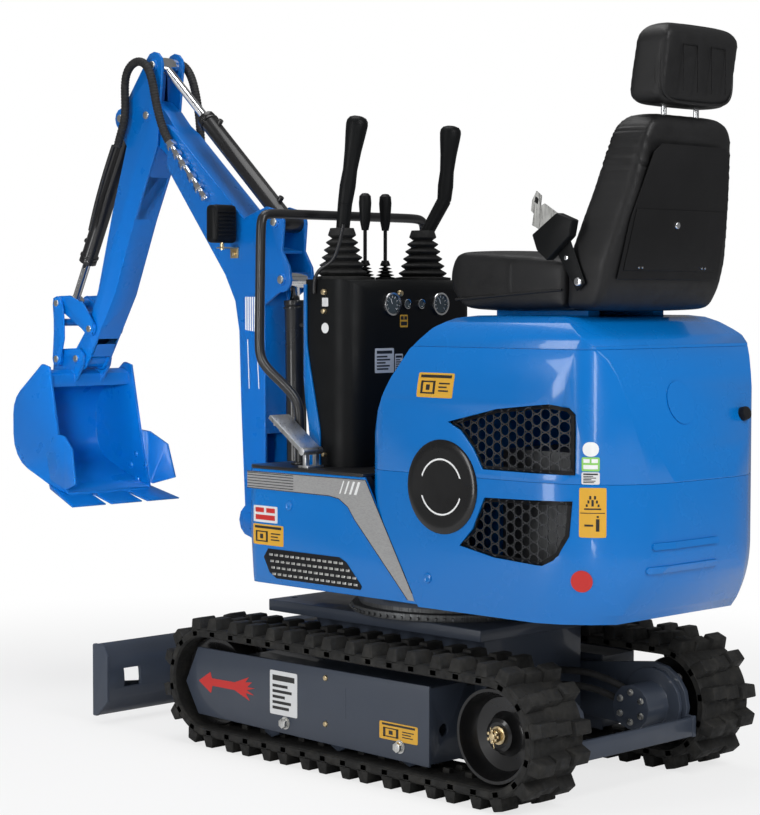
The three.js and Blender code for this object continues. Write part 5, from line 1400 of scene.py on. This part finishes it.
class DIGGER_OT_stage(bpy.types.Operator):
    """Camera, floor, world and lamps"""
    bl_idname = "digger.stage"
    bl_label = "Stage"

    def execute(self, context):
        scene = context.scene
        scene.view_settings.view_transform = "Standard"
        yaw, pitch = math.radians(44.309), math.radians(2.996)
        camera = bpy.data.objects.new("camera", bpy.data.cameras.new("camera"))
        scene.collection.objects.link(camera)
        camera.location = place(-3697.2, 3958.9, 1158.3)
        view = Vector((math.cos(yaw) * math.cos(pitch), -math.sin(yaw) * math.cos(pitch), -math.sin(pitch)))
        camera.rotation_euler = view.to_track_quat("-Z", "Y").to_euler()
        camera.data.sensor_width = 36
        camera.data.lens = 95.08
        camera.data.shift_x = 0.0357
        camera.data.shift_y = 0.0014
        camera.data.clip_end = 60
        scene.camera = camera

        floor = bmesh.new()
        bmesh.ops.create_grid(floor, x_segments=1, y_segments=1, size=20)
        mesh = bpy.data.meshes.new("floor")
        floor.to_mesh(mesh)
        floor.free()
        ground = bpy.data.objects.new("floor", mesh)
        scene.collection.objects.link(ground)
        ground.data.materials.append(self.pale_floor())

        world = bpy.data.worlds.new("studio")
        scene.world = world
        world.use_nodes = True
        nodes, links = world.node_tree.nodes, world.node_tree.links
        background = nodes["Background"]
        background.inputs["Color"].default_value = (1, 1, 1, 1)
        path = nodes.new("ShaderNodeLightPath")
        seen = nodes.new("ShaderNodeMath")
        seen.operation = "MAXIMUM"
        links.new(path.outputs["Is Camera Ray"], seen.inputs[0])
        links.new(path.outputs["Is Transmission Ray"], seen.inputs[1])
        strength = nodes.new("ShaderNodeMapRange")
        strength.inputs["To Min"].default_value = 0.2
        strength.inputs["To Max"].default_value = 1.0
        links.new(seen.outputs[0], strength.inputs["Value"])
        links.new(strength.outputs["Result"], background.inputs["Strength"])

        soft_light("key", (-3.8, 0.3, 3.0), (-0.4, 0, 0.7), (1.2, 2.4), 88)
        soft_light("side", (0.3, 4.5, 1.5), (-0.2, 0, 0.85), (1.0, 2.9), 74)
        soft_light("top", (0.3, 0.2, 4.4), (0, 0, 0.8), (3.0, 2.2), 66)
        soft_light("rear_strip", (-3.4, 3.4, 1.3), (-0.9, 0.2, 0.8), (0.22, 2.6), 20)
        soft_light("bucket_fill", (-1.2, 2.4, 1.15), (1.1, 0, 0.8), (0.5, 0.6), 3.2, 34)
        return {"FINISHED"}

    def pale_floor(self):
        material = bpy.data.materials.new("pale_floor")
        material.use_nodes = True
        nodes, links = material.node_tree.nodes, material.node_tree.links
        surface = nodes["Principled BSDF"]
        surface.inputs["Base Color"].default_value = (0.86, 0.86, 0.86, 1)
        surface.inputs["Roughness"].default_value = 0.9
        surface.inputs["Specular IOR Level"].default_value = 0.1
        glow = nodes.new("ShaderNodeEmission")
        glow.inputs["Color"].default_value = (1, 1, 1, 1)
        mix = nodes.new("ShaderNodeMixShader")
        path = nodes.new("ShaderNodeLightPath")
        share = nodes.new("ShaderNodeMath")
        share.operation = "MULTIPLY"
        place_of = nodes.new("ShaderNodeTexCoord")
        reach = nodes.new("ShaderNodeVectorMath")
        reach.operation = "LENGTH"
        links.new(place_of.outputs["Object"], reach.inputs[0])
        fade = nodes.new("ShaderNodeMapRange")
        fade.interpolation_type = "SMOOTHSTEP"
        for socket, number in (("From Min", 1.2), ("From Max", 2.8), ("To Min", 0.74), ("To Max", 1.0)):
            fade.inputs[socket].default_value = number
        links.new(reach.outputs["Value"], fade.inputs["Value"])
        links.new(fade.outputs["Result"], share.inputs[1])
        links.new(path.outputs["Is Camera Ray"], share.inputs[0])
        links.new(share.outputs[0], mix.inputs["Fac"])
        links.new(surface.outputs[0], mix.inputs[1])
        links.new(glow.outputs[0], mix.inputs[2])
        links.new(mix.outputs[0], nodes["Material Output"].inputs["Surface"])
        return material


class DIGGER_PT_looks(bpy.types.Panel):
    """Lists the sizes, colours and building steps"""
    bl_idname = "DIGGER_PT_looks"
    bl_label = "Compact digger"
    bl_space_type = "VIEW_3D"
    bl_region_type = "UI"
    bl_category = "Digger"

    def draw(self, context):
        chosen = context.scene.digger_looks
        for setting in ("hood_colour", "boom_colour", "chassis_colour", "edge_break", "crown"):
            self.layout.prop(chosen, setting)
        for step in STEPS:
            self.layout.operator(step.bl_idname)


STEPS = (DIGGER_OT_stage, DIGGER_OT_undercarriage, DIGGER_OT_hood, DIGGER_OT_seat, DIGGER_OT_console, DIGGER_OT_boom)
CLASSES = (DiggerSettings, *STEPS, DIGGER_PT_looks)


def register():
    for cls in CLASSES:
        bpy.utils.register_class(cls)
    bpy.types.Scene.digger_looks = PointerProperty(type=DiggerSettings)


def unregister():
    del bpy.types.Scene.digger_looks
    for cls in reversed(CLASSES):
        bpy.utils.unregister_class(cls)


def main():
    register()
    mix_finishes()
    bpy.ops.digger.stage()
    bpy.ops.digger.undercarriage()
    bpy.ops.digger.hood()
    bpy.ops.digger.seat()
    bpy.ops.digger.console()
    bpy.ops.digger.boom()


if __name__ == "__main__":
    main()
